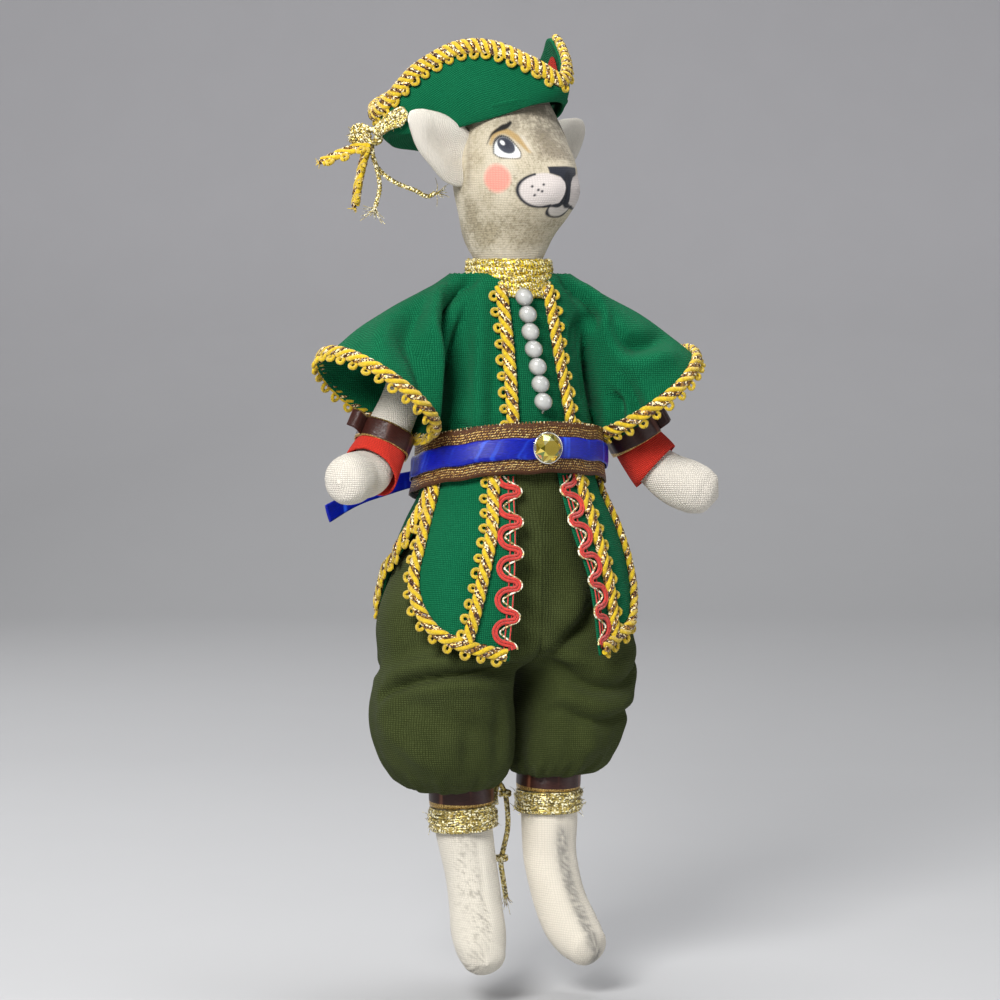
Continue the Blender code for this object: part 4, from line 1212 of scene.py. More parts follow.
def sash():
    """The sash's knot behind and its free end, a flat ribbon."""
    waist = float(table_at(COAT, BELT_Z)[2])
    y = waist + SASH_OUT + 2.8
    z = BELT_Z - BELT_TILT * waist
    heap = Heap()
    t = np.linspace(0, TAU, 40)
    for tilt, size in ((0.5, 2.5), (-0.6, 2.2)):
        ring = np.stack([size * np.cos(t), 0.8 * np.sin(2 * t), size * 0.8 * np.sin(t + tilt)], 1)
        heap.tube(ring + (0, y - 0.6, z), 1.0, 8, flat=0.5, caps=False)
    piece("sash_knot_cloth", heap, BLUE_SATIN.material, "torso", ["sash_knot"])
    path = smooth_path(SASH_TAIL, 40)
    t = np.linspace(0, 1, 40)
    path[:, 1] += 0.35 * np.sin(t * 9)
    along = unit(np.gradient(path, axis=0))
    across = unit(np.array([0, 0, 1.0]) - along * along[:, 2:3])
    out = np.cross(along, across)
    half = 2.1 - 0.25 * np.sin(t * 6) ** 2
    rows = [path + across * (half * s)[:, None] + out * (0.18 * (1 - s * s)) for s in np.linspace(-1, 1, 9)]
    heap = Heap()
    heap.grid(np.array(rows))
    tail = piece("sash_end", heap, BLUE_SATIN.material, "torso", ["sash_tail"])
    solidify(tail, 0.25, 0)


BEADS, BEAD_PITCH, BEAD_RADIUS, HOLE_RADIUS = 7, 3.9, 1.98, 0.42


def beads():
    """Pearl beads with their holes, and the thread that they hang on."""
    top = np.array([-2.4, -float(table_at(COAT, 149.4)[1]) - 2.7, 149.4])
    low = np.array([0, -float(table_at(COAT, 126.4)[1]) - 2.7, 126.4])
    along = unit(low - top)
    side = unit(np.cross(along, [1, 0, 0]))
    for i in range(BEADS):
        reach = asin(HOLE_RADIUS / BEAD_RADIUS)
        arc = np.linspace(reach, pi - reach, 28)
        around = np.linspace(0, TAU, 36, endpoint=False)
        centre = top + along * BEAD_PITCH * i + np.array([0.12 * sin(i * 1.9), 0, 0])
        radial = np.cos(around)[:, None] * np.array([1, 0, 0]) + np.sin(around)[:, None] * side
        rings = [centre + BEAD_RADIUS * (-cos(a) * along + sin(a) * radial) for a in arc]
        rings += [centre + 1.7 * cos(reach) * along * s + 0.3 * radial for s in (1, -1)]
        heap = Heap()
        heap.grid(np.array(rings + rings[:1]), closed=True, flip=True)
        piece(f"bead_{i + 1}", heap, PEARL.material, "torso", [f"pearl_{i + 1}"])
    heap = Heap()
    end = top + along * BEAD_PITCH * (BEADS - 1)
    behind = np.array([0, 1.8, 0])
    route = [top - along * 2.8 + behind, top - along * 1.2, end + along * 1.2, end + along * 2.6 + behind]
    two_ply(heap, resample(route, 80), 0.22)
    piece("bead_string", heap, THREAD.material, "torso", ["pearl_thread"])


def gem():
    """A brilliant-cut stone with a bright rim, its facets painted light and dark as painted reflections and shade.
    """
    y = -float(table_at(COAT, BELT_Z)[1])
    centre = np.array([0, y - 3.9, BELT_Z - BELT_TILT * y])
    count = 8
    heap = Heap()
    half = pi / count

    def ring(radius, height, shift):
        angles = [TAU * k / count + shift for k in range(count)]
        return [(radius * cos(a), -height, radius * sin(a)) for a in angles]

    table_ring, star, girdle = ring(1.75, 2.3, half), ring(2.45, 1.75, 0), ring(3.2, 0.7, half)
    base = ring(3.2, 0.1, half)
    points = centre + np.array(table_ring + star + girdle + base)
    faces = [tuple(reversed(range(count)))]
    for k in range(count):
        j = (k + 1) % count
        faces.append((k, count + j, j))
        faces.append((k, 2 * count + k, count + j))
        faces.append((k, count + k, 2 * count + k))
        faces.append((2 * count + k, 2 * count + j, count + j))
        faces.append((2 * count + k, 3 * count + k, 3 * count + j, 2 * count + j))
    heap.add(points, faces, np.zeros((sum(len(f) for f in faces), 2)))
    mesh = mesh_of("stone", heap, smooth=False)
    work = bmesh.new()
    work.from_mesh(mesh)
    bmesh.ops.recalc_face_normals(work, faces=work.faces)
    work.to_mesh(mesh)
    work.free()
    # Painted reflections and shade: the facets take these light and dark colours in turn.
    facet_light_and_shade = [
        (0.95, 0.72, 0.12),
        (0.55, 0.36, 0.02),
        (0.98, 0.92, 0.45),
        (0.25, 0.22, 0.02),
        (0.75, 0.62, 0.08),
        (0.12, 0.2, 0.05),
    ]
    paint = mesh.color_attributes.new("paint", "FLOAT_COLOR", "CORNER")
    for n, face in enumerate(mesh.polygons):
        for corner in face.loop_indices:
            paint.data[corner].color = (*facet_light_and_shade[(n * 7 + n // 3) % len(facet_light_and_shade)], 1)
    place("stone", mesh, STONE.material, "torso", ["belt_gem"])
    rim = Heap()
    a = np.linspace(0, TAU, 49)
    circle = np.stack([3.3 * np.cos(a), -0.45 + 0 * a, 3.3 * np.sin(a)], 1)
    rim.tube(centre + circle, 0.22, 8, caps=False)
    f = Finish("bright_rim", Roughness=0.18, Metallic=0.9)
    scratch = f.noise(f.where(), 900.0, 3.0)
    f.colour(f.mix(scratch, (0.75, 0.74, 0.68), (0.95, 0.94, 0.90)))
    piece("stone_rim", rim, f.material, "torso")


COLLAR_SHIFT = np.array([-0.2, 0.2, 0])


def collar_ring(a, up, out=0.0):
    """The collar's face: up 0 is its lower edge, which dips and spreads in front."""
    front = np.clip(np.cos(a), 0, 1) ** 1.5
    low = 151.2 - 1.9 * front
    z = low + (157.6 - low) * up
    r = 8.9 + out + (1 - up) * (0.2 + 1.7 * front) - 0.35 * up
    return np.stack([r * np.sin(a), -r * np.cos(a), z], -1) + COLLAR_SHIFT


def collar():
    """Close rows of gold and yellow cord round the neck, on a woven band."""
    a = np.linspace(0, TAU, 120, endpoint=False)
    heap = Heap()
    heap.grid(np.array([collar_ring(a, up) for up in (1.02, 1.0, 0.5, 0.0)]), closed=True)
    piece("collar_cloth", heap, COLLAR_GOLD.material, "torso", ["collar_band"])
    a = np.linspace(0, TAU, 220)
    out = np.stack([np.sin(a), -np.cos(a), 0 * a], 1)
    for k, up in enumerate((0.08, 0.29, 0.5, 0.71, 0.9)):
        braid(
            f"collar_row_{k + 1}",
            collar_ring(a, up + 0.02 * np.sin(a * 11 + k)),
            out,
            "torso",
            (),
            picots=0,
            width=0.72,
            lift=0.3,
            pitch=1.5,
            turns=1.0,
            finishes=(COLLAR_GOLD, GOLD),
        )


# ---------------------------------------------------------------- breeches

# (height, inner x, outer x, centre y, half depth in front, half depth behind); the right leg is the fuller one
BREECHES = {
    -1: [
        (39.8, 7.0, 17.0, 2.4, 5.5, 5.5),
        (40.4, 5.0, 21.5, 2.1, 8.2, 8.0),
        (42.0, 2.6, 25.4, 1.6, 10.9, 10.2),
        (45.0, 1.0, 28.6, 1.0, 13.4, 12.4),
        (51.0, 0.5, 31.8, 0.4, 15.6, 14.4),
        (57.0, 0.6, 32.8, 0.0, 16.4, 15.4),
        (63.0, 1.0, 32.4, 0.0, 16.4, 15.6),
        (70.0, 0.08, 31.4, 0.0, 16.2, 15.6),
        (77.0, 0.03, 31.4, 0.0, 16.1, 15.6),
        (84.0, 0.0, 29.4, 0.0, 16.0, 15.8),
        (95.0, 0.0, 24.2, 0.0, 16.0, 16.4),
        (104.0, 0.0, 20.0, 0.0, 15.2, 15.0),
        (110.0, 0.0, 18.4, 0.0, 14.4, 14.2),
        (115.0, 0.0, 17.6, 0.0, 13.9, 13.6),
    ],
    1: [
        (42.0, 6.0, 15.4, 2.4, 5.5, 5.5),
        (42.6, 3.6, 18.4, 2.1, 8.2, 8.0),
        (44.2, 1.6, 21.6, 1.6, 10.6, 10.2),
        (47.4, 0.8, 24.2, 1.0, 12.8, 12.2),
        (53.0, 0.5, 26.6, 0.4, 14.2, 13.8),
        (58.0, 0.4, 28.4, 0.0, 14.8, 14.6),
        (64.0, 1.6, 30.0, 0.0, 15.3, 15.2),
        (70.0, 0.08, 29.8, 0.0, 15.6, 15.4),
        (77.0, 0.03, 28.6, 0.0, 15.8, 15.6),
        (84.0, 0.0, 26.6, 0.0, 15.8, 15.8),
        (95.0, 0.0, 22.8, 0.0, 16.0, 16.4),
        (104.0, 0.0, 19.4, 0.0, 15.2, 15.0),
        (110.0, 0.0, 18.2, 0.0, 14.4, 14.2),
        (115.0, 0.0, 17.6, 0.0, 13.9, 13.6),
    ],
}


def breeches_ring(side, z, angles):
    """One leg's section: an oval below the crotch, and half of the waist's oval above it."""
    inner, outer, y, front, back = (float(v) for v in table_at(BREECHES[side], z))
    joined = np.clip((z - 66.5) / 11.0, 0, 1)
    joined = joined * joined * (3 - 2 * joined)
    middle = (inner + outer) / 2 * (1 - joined)
    wide = outer - middle
    s, c = np.sin(angles), np.cos(angles)
    x = middle + wide * s
    ys = y - np.where(c > 0, front, back) * np.abs(c) ** (1 - 0.12 * joined) * np.sign(c)
    return np.stack([np.maximum(x, inner), ys, np.full(len(angles), z)], 1)


LEG_MIDDLE_X = 12


def breeches():
    for side, name in SIDES:
        angles = np.linspace(0, TAU, 150, endpoint=False)
        hem = BREECHES[side][0][0]
        heights = np.r_[np.linspace(hem, hem + 1.6, 7)[:-1], np.linspace(hem + 1.6, 114.5, 100)]
        rings = np.array([breeches_ring(side, z, angles) for z in heights])
        rows, cols = rings.shape[:2]
        points = rings.reshape(-1, 3)
        faces = ring_faces(rows, cols)
        normals = vertex_normals(points, faces)
        out = np.stack([points[:, 0] - 13, points[:, 1], 0 * points[:, 2]], 1)
        if (normals * out).sum() < 0:
            faces = faces[:, ::-1]
            normals = -normals
        at_seam = (points[:, 0] < 0.4) & (points[:, 2] > 70)
        normals[at_seam, 0] *= 0.02
        flat_inside = np.clip((points[:, 0] - 0.3) / 2.5, 0, 1)
        points = breeches_folds(points, normals, side, angles, rows)
        points = points + wander(points, 11.0, 0.55, side * 4.0) * flat_inside[:, None]
        points[:, 0] = np.maximum(points[:, 0], 0.0)
        points[:, 0] *= side
        if side < 0:
            faces = faces[:, ::-1]
        inner_wall = (np.abs(points[faces][..., 0]).max(1) < 0.06) & (points[faces][..., 2].min(1) > 76)
        faces = faces[~inner_wall]
        heap = Heap()
        corner = points[faces]
        around = np.arctan2(corner[..., 0] * side - LEG_MIDDLE_X, -corner[..., 1])
        jump = around - around[:, :1]
        around = np.where(jump > pi, around - TAU, np.where(jump < -pi, around + TAU, around))
        heap.add(points, faces, np.stack([around * 15.5, corner[..., 2]], -1))
        stands_for = ["breeches_leg_" + name]
        obj = piece("breeches_cloth_" + name, heap, OLIVE.material, None, stands_for)
        if side < 0:
            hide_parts("breeches_seat")
        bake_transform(obj)


def breeches_folds(points, normals, side, angles, rows):
    """Soft gathers at the hem, and the creases that the cloth's weight draws across and down each leg."""
    z = points[:, 2]
    angle = np.tile(angles, rows)
    hem = BREECHES[side][0][0]
    gather = np.exp(-((z - hem - 2.0) / 3.0) ** 2) * np.clip((z - hem) / 1.2, 0, 1)
    teeth = np.sin(angle * 13) * 0.34 + np.sin(angle * 23 + 1) * 0.2
    points = points + normals * (teeth * gather)[:, None]
    pleat = np.exp(-(((z - 50) / 8.0) ** 2))
    wave = 0.4 * np.sin(angle * 7 + side) + 0.22 * np.sin(angle * 12 + 2 * side)
    points = points + normals * (pleat * wave)[:, None]

    def fold(line, width, depth):
        nonlocal points
        points = crease(points, normals, [(x, y, h + 2.2) for x, y, h in line], width, depth)

    if side < 0:
        fold(
            [(32, -3, 60.5), (29.5, -9, 63.5), (21.3, -15, 65.6), (12, -15.6, 66.2), (4, -12, 66.4)],
            1.1,
            -3.6,
        )
        fold(
            [(32, -3, 57), (28.5, -9.5, 60.6), (21.3, -14.5, 62.6), (12, -15.2, 63.0), (4, -12, 62.8)],
            2.2,
            1.3,
        )
        fold([(31, -4, 65), (28, -9, 66.8), (20, -14, 68.2), (10, -15.4, 68.4)], 1.9, 1.6)
        fold([(29, -8, 61), (25, -12.5, 57), (17, -15.5, 53.5), (9, -14.5, 52.5)], 2.8, -1.5)
        fold([(31, -3, 55), (28, -8, 49.5), (22, -11, 45)], 2.4, 1.0)
        fold([(10, -15, 60), (8.5, -14.6, 53), (9.5, -12, 46)], 2.0, -0.9)
        fold([(24, -13, 76), (27.5, -10, 71), (30.5, -4, 68)], 2.2, -0.9)
        fold([(18, -14, 51), (17, -12.5, 45)], 1.8, -0.8)
    else:
        fold(
            [(1.5, -12, 67), (6.5, -14.5, 63.6), (18.3, -12.5, 60.8), (25.6, -7, 64.5), (28.5, -2, 68)],
            1.6,
            -2.2,
        )
        fold([(3, -13, 71), (10, -15, 68), (20, -13, 65.5), (26, -8, 69)], 2.2, 1.3)
        fold([(1.5, -13, 55.5), (4, -14, 56.8), (12.2, -14, 53.6), (22, -9, 54.6), (26.5, -3, 57)], 1.4, -1.9)
        fold([(2.5, -13.5, 60.5), (9, -14.5, 59), (17, -13, 57), (24, -8, 58.5)], 2.0, 1.2)
        fold([(8, -14, 50.5), (13, -13, 48), (19, -9.5, 48)], 2.0, 0.8)
        fold([(26, -2, 52), (24.5, -4, 47)], 1.6, -0.8)
        fold(
            [(17, -12, 81), (14.2, -14, 77.6), (9.5, -15.2, 73.4), (5.8, -15.4, 70.2), (2.0, -15.2, 67)],
            1.9,
            -2.6,
        )
        fold([(11, -15.6, 86), (8.5, -16, 79), (4.5, -16, 74)], 3.2, 1.4)
    fold([(3.0, -14, 97), (3.4, -15.5, 84), (4.4, -15, 74), (6.5, -13.5, 66)], 2.2, -0.5)
    fold([(6.5, -15.5, 98), (8.0, -16, 86), (9.5, -15.8, 75)], 2.6, 0.7)
    fold([(28, 5, 64), (27, 7, 54), (22, 9, 46)], 1.9, -1.2)
    fold([(20, 13, 66), (19, 14, 56), (15, 12, 47)], 1.9, -1.2)
    fold([(29, 2, 66), (24, 10, 64), (15, 15, 63.5), (6, 14, 64)], 1.4, -1.8)
    fold([(11, 15, 70), (11, 15.5, 60), (11, 13, 49)], 1.9, 1.0)
    fold([(5, 14, 66), (6, 14.5, 56), (8, 12, 47)], 1.7, -1.1)
    return points


# ---------------------------------------------------------------- limbs

# Middle lines of the limbs as (x outward, y, height, radius); an arm goes on with its own hand
ARM = [
    (21.8, 0.4, 147.4, 1.6),
    (21.8, 0.4, 146.4, 3.4),
    (22.0, 0.4, 143.6, 4.3),
    (22.8, 0.3, 136.0, 4.5),
    (26.2, 0.0, 127.0, 4.5),
    (29.8, -0.4, 119.6, 4.7),
    (33.2, -1.8, 113.6, 4.7),
    (35.0, -3.0, 111.4, 5.0),
]
LEG = [
    (11.2, 0.0, 90.4, 1.0),
    (11.2, 0.0, 89.0, 4.4),
    (11.2, 0.0, 85.0, 5.9),
    (11.2, 0.6, 70.0, 5.9),
    (11.0, 1.8, 52.0, 6.2),
    (10.8, 2.6, 40.0, 6.4),
    (10.8, 2.6, 32.0, 6.3),
    (11.0, 1.6, 23.0, 5.9),
    (11.9, -1.6, 14.4, 5.9),
    (13.0, -6.2, 8.0, 5.9),
    (13.9, -9.6, 5.4, 5.0),
    (14.5, -12.2, 4.1, 3.6),
    (14.9, -13.6, 3.6, 0.4),
]


RIGHT_HAND = [
    (38.4, -5.0, 110.8, 5.2),
    (41.4, -7.2, 110.3, 5.5),
    (43.6, -8.8, 110.1, 4.9),
    (45.0, -9.8, 109.9, 3.3),
    (45.7, -10.4, 109.8, 0.4),
]
LEFT_HAND = [
    (37.8, -5.0, 108.8, 5.6),
    (41.4, -7.5, 106.8, 5.9),
    (44.0, -9.2, 105.4, 5.2),
    (45.6, -10.4, 104.6, 3.6),
    (46.6, -11.0, 104.2, 0.4),
]
ARMS = {-1: ARM + RIGHT_HAND, 1: ARM + LEFT_HAND}


def turned_in(x, z):
    """The right foot turns in a little."""
    return x - float(np.interp(z, [0, 15.8, 25, 36], [3.1, 2.7, 1.6, 0]))


LEGS = {-1: [(turned_in(x, z), y, z, r) for x, y, z, r in LEG], 1: LEG}


def limb_rings(path, side, rows, cols):
    """Rings along a stuffed limb, and the rings' angles."""
    path = np.array(path)
    steps = steps_of(path[:, :3])
    at = np.linspace(0, steps[-1], rows)
    at[-8:] = steps[-1] - (steps[-1] - at[-8]) * (np.linspace(1, 0, 8) ** 1.6)
    centre = np.stack([hermite(at, steps, path[:, k]) for k in range(3)], 1)
    radius = np.maximum(hermite(at, steps, path[:, 3]), 0.05)
    along = unit(np.gradient(centre, axis=0))
    up = carried(along)
    across = np.cross(along, up)
    a = np.linspace(0, TAU, cols, endpoint=False)
    rings = centre[:, None] + radius[:, None, None] * (
        np.cos(a)[None, :, None] * across[:, None] + np.sin(a)[None, :, None] * up[:, None]
    )
    return rings * np.array([side, 1, 1]), a, at


def limb(name, path, side, finish, body, stands_for, seam_angle, seed):
    rows, cols = 130, 64
    rings, a, at = limb_rings(path, side, rows, cols)
    points = rings.reshape(-1, 3)
    faces = ring_faces(rows, cols)
    normals = vertex_normals(points, faces)
    flipped = bool((normals * (points - np.repeat(rings.mean(1), cols, 0))).sum() < 0)
    if flipped:
        faces, normals = faces[:, ::-1], -normals
    angle = np.tile(a, rows)
    gap = np.abs((angle - seam_angle + pi) % TAU - pi)
    pucker = np.repeat(np.sin(at * TAU / 2.4), cols) * 0.10
    from_tip = np.repeat(np.clip((at[-1] - at) / 7.0, 0, 1), cols)
    points = points - normals * ((0.32 + pucker) * from_tip * np.exp(-((gap * 6 / 0.7) ** 2)))[:, None]
    points = points + wander(points, 7.0, 0.22, seed) + wander(points, 16.0, 0.4, seed + 9)
    heap = Heap()
    heap.add(points, faces, draped_uv(points, normals, faces))
    heap.fan(points[-cols:], flip=not flipped)
    heap.fan(points[:cols], flip=flipped)
    obj = piece(name, heap, finish.material, body, stands_for)
    return obj, np.concatenate(heap.points)


def middle_line(path, side):
    return smooth_path([p[:3] for p in path], 200) * np.array([side, 1, 1])


def path_frame(path, side, z):
    """Centre and direction of a limb at a height."""
    line = middle_line(path, side)
    k = int(np.argmin(np.abs(line[:, 2] - z)))
    return line[k], unit(line[k] - line[k - 1])


def limb_band(name, path, side, top, low, radius, finish, slot, body, stands_for, flare=0.0, wave=0.0):
    """A band of cloth or ribbon round a limb."""
    start, first = path_frame(path, side, top)
    end, second = path_frame(path, side, low)
    a = np.linspace(0, TAU, 72, endpoint=False)
    rows = []
    for t in np.linspace(0, 1, 9):
        centre, along = start + (end - start) * t, unit(first + (second - first) * t)
        across = unit(np.cross(along, [0, 1, 0]))
        other = np.cross(along, across)
        size = radius + flare * (t - 0.5) + 0.12 * (1 - (2 * t - 1) ** 4) + wave * np.sin(a * 7 + t * 2)
        rows.append(centre + (np.cos(a) * size)[:, None] * across + (np.sin(a) * size)[:, None] * other)
    heap = Heap()
    heap.grid(np.array(rows), closed=True, flip=side > 0)
    obj = piece(name, heap, finish.material, body, stands_for)
    solidify(obj, 0.35, 0)


def winding(name, path, side, top, low, radius, body, stands_for):
    """Gold cord wound round a boot again and again, its turns crossing, with fibres standing off it."""
    heap = Heap()
    start, along = path_frame(path, side, top)
    end, _ = path_frame(path, side, low)
    across = unit(np.cross(along, [0, 1, 0]))
    other = np.cross(along, across)

    def ring(t, a, size):
        out = (np.cos(a) * size)[:, None] * across + (np.sin(a) * size)[:, None] * other
        return start + (end - start) * t[:, None] + out

    turns = 9
    t = np.linspace(0, 1, turns * 40)
    heap.tube(ring(t, t * TAU * turns, radius + 0 * t), 0.42, 5)
    for _ in range(16):
        a = np.linspace(0, TAU * 1.1, 50) + RNG.uniform(0, TAU)
        middle, tilt = RNG.uniform(0.12, 0.88), RNG.normal(0, 0.13)
        drop = np.clip(middle + tilt * np.sin(a + RNG.uniform(0, TAU)) + 0.03 * np.sin(a * 5), 0.0, 1.0)
        size = radius + 0.25 + 0.35 * RNG.uniform() + 0.12 * np.sin(a * RNG.integers(3, 7))
        heap.tube(ring(drop, a, size), 0.27, 5)
    for _ in range(46):
        a, s = RNG.uniform(0, TAU), RNG.uniform(0, 1)
        out = cos(a) * across + sin(a) * other
        away = out * 0.4 + along * RNG.normal(0, 1) + np.cross(along, out) * RNG.normal(0, 1)
        frayed(heap, start + (end - start) * s + out * (radius + 0.55), away, 1.7, 1, 0.5, 0.09)
    piece(name, heap, GOLD.material, body, stands_for)


def arms():
    """Stuffed arms with red cuffs and brown ribbons, one end of each ribbon standing off."""
    for side, name in SIDES:
        body = "arm_" + name
        limb("arm_linen_" + name, ARMS[side], side, LINEN, body, [body], 1.2, 2.0 + side)
        cuff = (RED, "red_cotton", body, ["cuff_" + name])
        limb_band("cuff_cloth_" + name, ARMS[side], side, 117.4, 111.4, 5.75, *cuff, flare=1.0, wave=0.05)
        ribbon = (BROWN_SATIN, "brown_ribbon", body, ["wrist_ribbon_" + name])
        limb_band("wrist_satin_" + name, ARMS[side], side, 120.8, 116.4, 5.95, *ribbon, flare=0.2, wave=0.1)
        centre, along = path_frame(ARMS[side], side, 118.6)
        heap = Heap()
        out = unit(np.cross(along, [0, 1, 0]))
        out = out * (1 if out[0] * side > 0 else -1)
        root = centre + out * 6.1 + np.array([0, -1.0, 0])
        steps = smooth_path([root, root + out * 2.0 + (0, -0.8, 0.5), root + out * 3.4 + (0, 0.6, 0.6)], 12)
        rows = [steps + along * s for s in np.linspace(-2.1, 2.1, 6)]
        heap.grid(np.array(rows))
        flap = piece("wrist_end_" + name, heap, BROWN_SATIN.material, body)
        solidify(flap, 0.3, 0)


BOOT_RADIUS = 7.0


def legs():
    """Stuffed boots, greyed down their fronts, with their ribbons and cord windings."""
    for side, name in SIDES:
        body = "leg_" + name
        obj, points = limb("boot_linen_" + name, LEGS[side], side, LEG_PAINT, body, [body], 1.5 * pi, 6.0 + side)
        paint = np.ones((len(points), 4))
        z = points[:, 2]
        base = np.array([0.74, 0.69, 0.60]) if side > 0 else np.array([0.70, 0.66, 0.58])
        tint = np.array([noise.noise(Vector(p) / 5.0) for p in points])
        speck = np.array([noise.noise(Vector(p) / 0.45) for p in points])
        paint[:, :3] = base * (1 + 0.05 * tint[:, None])
        middle = middle_line(LEGS[side], side)
        centre = np.array([middle[np.argmin(np.abs(middle[:, 2] - h)), 0] for h in z])
        across = (points[:, 0] - centre) * side
        front = np.clip((-points[:, 1] + np.interp(z, [4, 14, 40], [-6, 0, 2.0])) / 3, 0, 1)
        if side < 0:
            patch = np.clip((across + 0.4) / 1.0, 0, 1) * np.clip((6.5 - across) / 3, 0, 1) * front
            patch = patch * np.clip(0.75 + 0.8 * tint, 0, 1) * np.clip((38 - z) / 6, 0, 1)
            paint[:, 3] = 1 - 0.9 * patch
            cover(paint, np.clip((speck - 0.12) * 4, 0, 1) * patch * 0.6, (0.22, 0.20, 0.17), 0.2)
        else:
            grey = np.exp(-(((across - 0.6) / 1.5) ** 2)) * front * np.clip((33 - z) / 4, 0, 1)
            cover(paint, np.clip(grey * (0.9 + 0.8 * speck), 0, 1) * 0.75, (0.13, 0.13, 0.13), 0.2)
        layer = obj.data.color_attributes.new("paint", "FLOAT_COLOR", "POINT")
        layer.data.foreach_set("color", paint.ravel())
        up = 0.0 if side < 0 else 2.4
        ribbon = (BROWN_SATIN, "brown_ribbon", body, ["boot_ribbon_" + name])
        limb_band("boot_satin_" + name, LEGS[side], side, 42.0 + up, 36.6 + up, BOOT_RADIUS, *ribbon)
        cord = (body, ["boot_cord_" + name])
        winding("boot_winding_" + name, LEGS[side], side, 36.4 + up, 31.4 + up, BOOT_RADIUS, *cord)


BOOT_CORD_TAIL = [
    (-2.0, 3.0, 36.0),
    (-1.6, 4.2, 38.6),
    (-0.5, 4.8, 40.6),
    (0.9, 5.0, 38.6),
    (1.7, 5.0, 34.6),
    (1.9, 5.2, 30.0),
    (1.2, 5.6, 26.0),
    (0.6, 6.0, 22.4),
    (1.3, 6.4, 18.6),
    (2.2, 6.8, 14.2),
]


def boot_cord():
    """The winding's loose end: up between the boots, then hanging, knotted and frayed."""
    path = smooth_path(BOOT_CORD_TAIL, 36)
    curve = bpy.data.curves.new("boot_cord_end", "CURVE")
    curve.dimensions = "3D"
    curve.bevel_depth = 0.6 * MM
    curve.bevel_resolution = 3
    curve.use_fill_caps = True
    spline = curve.splines.new("POLY")
    spline.points.add(len(path) - 1)
    for point, place_at in zip(spline.points, to_row(path)):
        point.co = (*place_at, 1)
    cord = place("boot_cord_end", curve, GOLD.material, "leg_right", ["boot_cord_tail"])
    heap = Heap()
    for centre, size in ((path[9], 1.15), (path[25], 1.2)):
        t = np.linspace(0, TAU * 2, 60)
        ring = np.stack([np.cos(t) * size, np.sin(t) * size * 0.8, 0.45 * np.sin(t * 1.5)], 1)
        heap.tube(centre + ring, 0.42, 6)
    knots = piece("boot_cord_knots", heap, GOLD.material, "leg_right")
    heap = Heap()
    frayed(heap, path[-3], path[-1] - path[-4], 4.2, 14, 0.3, 0.13)
    ends = piece("boot_cord_fray", heap, PALE_GOLD.material, "leg_right")


# ---------------------------------------------------------------- head

# (height, centre forward, half length in front, half length behind, half width, narrowing of the face)
HEAD = [
    (150.6, -0.3, 7.1, 7.1, 7.1, 0.0),
    (157.0, -0.3, 7.3, 7.3, 7.3, 0.0),
    (160.5, -0.4, 8.8, 9.4, 8.9, 0.0),
    (163.8, 0.0, 10.9, 11.2, 10.2, 0.04),
    (167.4, 0.8, 14.2, 12.6, 11.4, 0.14),
    (169.8, 1.0, 16.6, 13.2, 12.2, 0.24),
    (172.7, 1.0, 17.8, 13.8, 12.8, 0.31),
    (174.9, 1.0, 17.7, 13.9, 13.0, 0.33),
    (177.0, 1.0, 17.4, 13.7, 12.9, 0.29),
    (179.4, 0.8, 16.4, 13.4, 12.7, 0.21),
    (181.8, 0.6, 15.0, 13.2, 12.5, 0.14),
    (184.2, 0.4, 13.2, 13.0, 12.2, 0.07),
    (188.0, 0.0, 10.6, 12.0, 11.2, 0.0),
    (191.6, -0.4, 9.2, 10.4, 9.6, 0.0),
    (195.4, -0.6, 7.0, 7.4, 7.2, 0.0),
    (198.0, -0.6, 3.0, 3.0, 3.0, 0.0),
]


def head_point(a, z):
    """The head's skin; a is the angle from the face, positive to the puppet's left."""
    forward, front, back, wide, narrow = table_at(HEAD, z)
    c, s = np.cos(a), np.sin(a)
    long = np.where(c > 0, front, back)
    x = wide * s * (1 - narrow * np.maximum(0, c) ** 2)
    return np.stack([x, -forward - long * c, z + 0 * a], -1)


# Millimetres along the face's skin for one degree round the head
SKIN_SCALE = 0.245


def oval(a, z, at, radii, tilt=0.0):
    """Below 1 inside an oval on the face, at (degrees, height)."""
    dx, dz = (a - at[0]) * SKIN_SCALE, z - at[1]
    c, s = cos(tilt), sin(tilt)
    return np.sqrt(((dx * c + dz * s) / radii[0]) ** 2 + ((dz * c - dx * s) / radii[1]) ** 2)


def stroke(a, z, points, widths):
    """Distance outside a brush stroke on the face, in millimetres."""
    line = np.array([(p[0] * SKIN_SCALE, p[1]) for p in points], float)
    steps = steps_of(line)
    at = np.linspace(0, steps[-1], 40)
    fine = np.stack([hermite(at, steps, line[:, k]) for k in (0, 1)], 1)
    wide = np.interp(at, np.linspace(0, steps[-1], len(widths)), widths)
    best = np.full(a.shape, 99.0)
    for (x, y), w in zip(fine, wide):
        best = np.minimum(best, np.hypot(a * SKIN_SCALE - x, z - y) - w / 2)
    return best


def cover(paint, amount, colour, solid=1.0):
    """Lays paint over what is there; alpha keeps how much of the linen's own speckle it hides."""
    amount = np.clip(amount, 0, 1)[:, None]
    paint[:, :3] = paint[:, :3] * (1 - amount) + np.array(colour) * amount
    paint[:, 3] = np.maximum(paint[:, 3] * (1 - amount[:, 0]), 0) + amount[:, 0] * solid


def edge(distance, soft=0.16):
    return np.clip(0.5 - distance / soft / 2, 0, 1)


DARK = (0.014, 0.016, 0.024)
BROW_BLACK = (0.012, 0.011, 0.01)


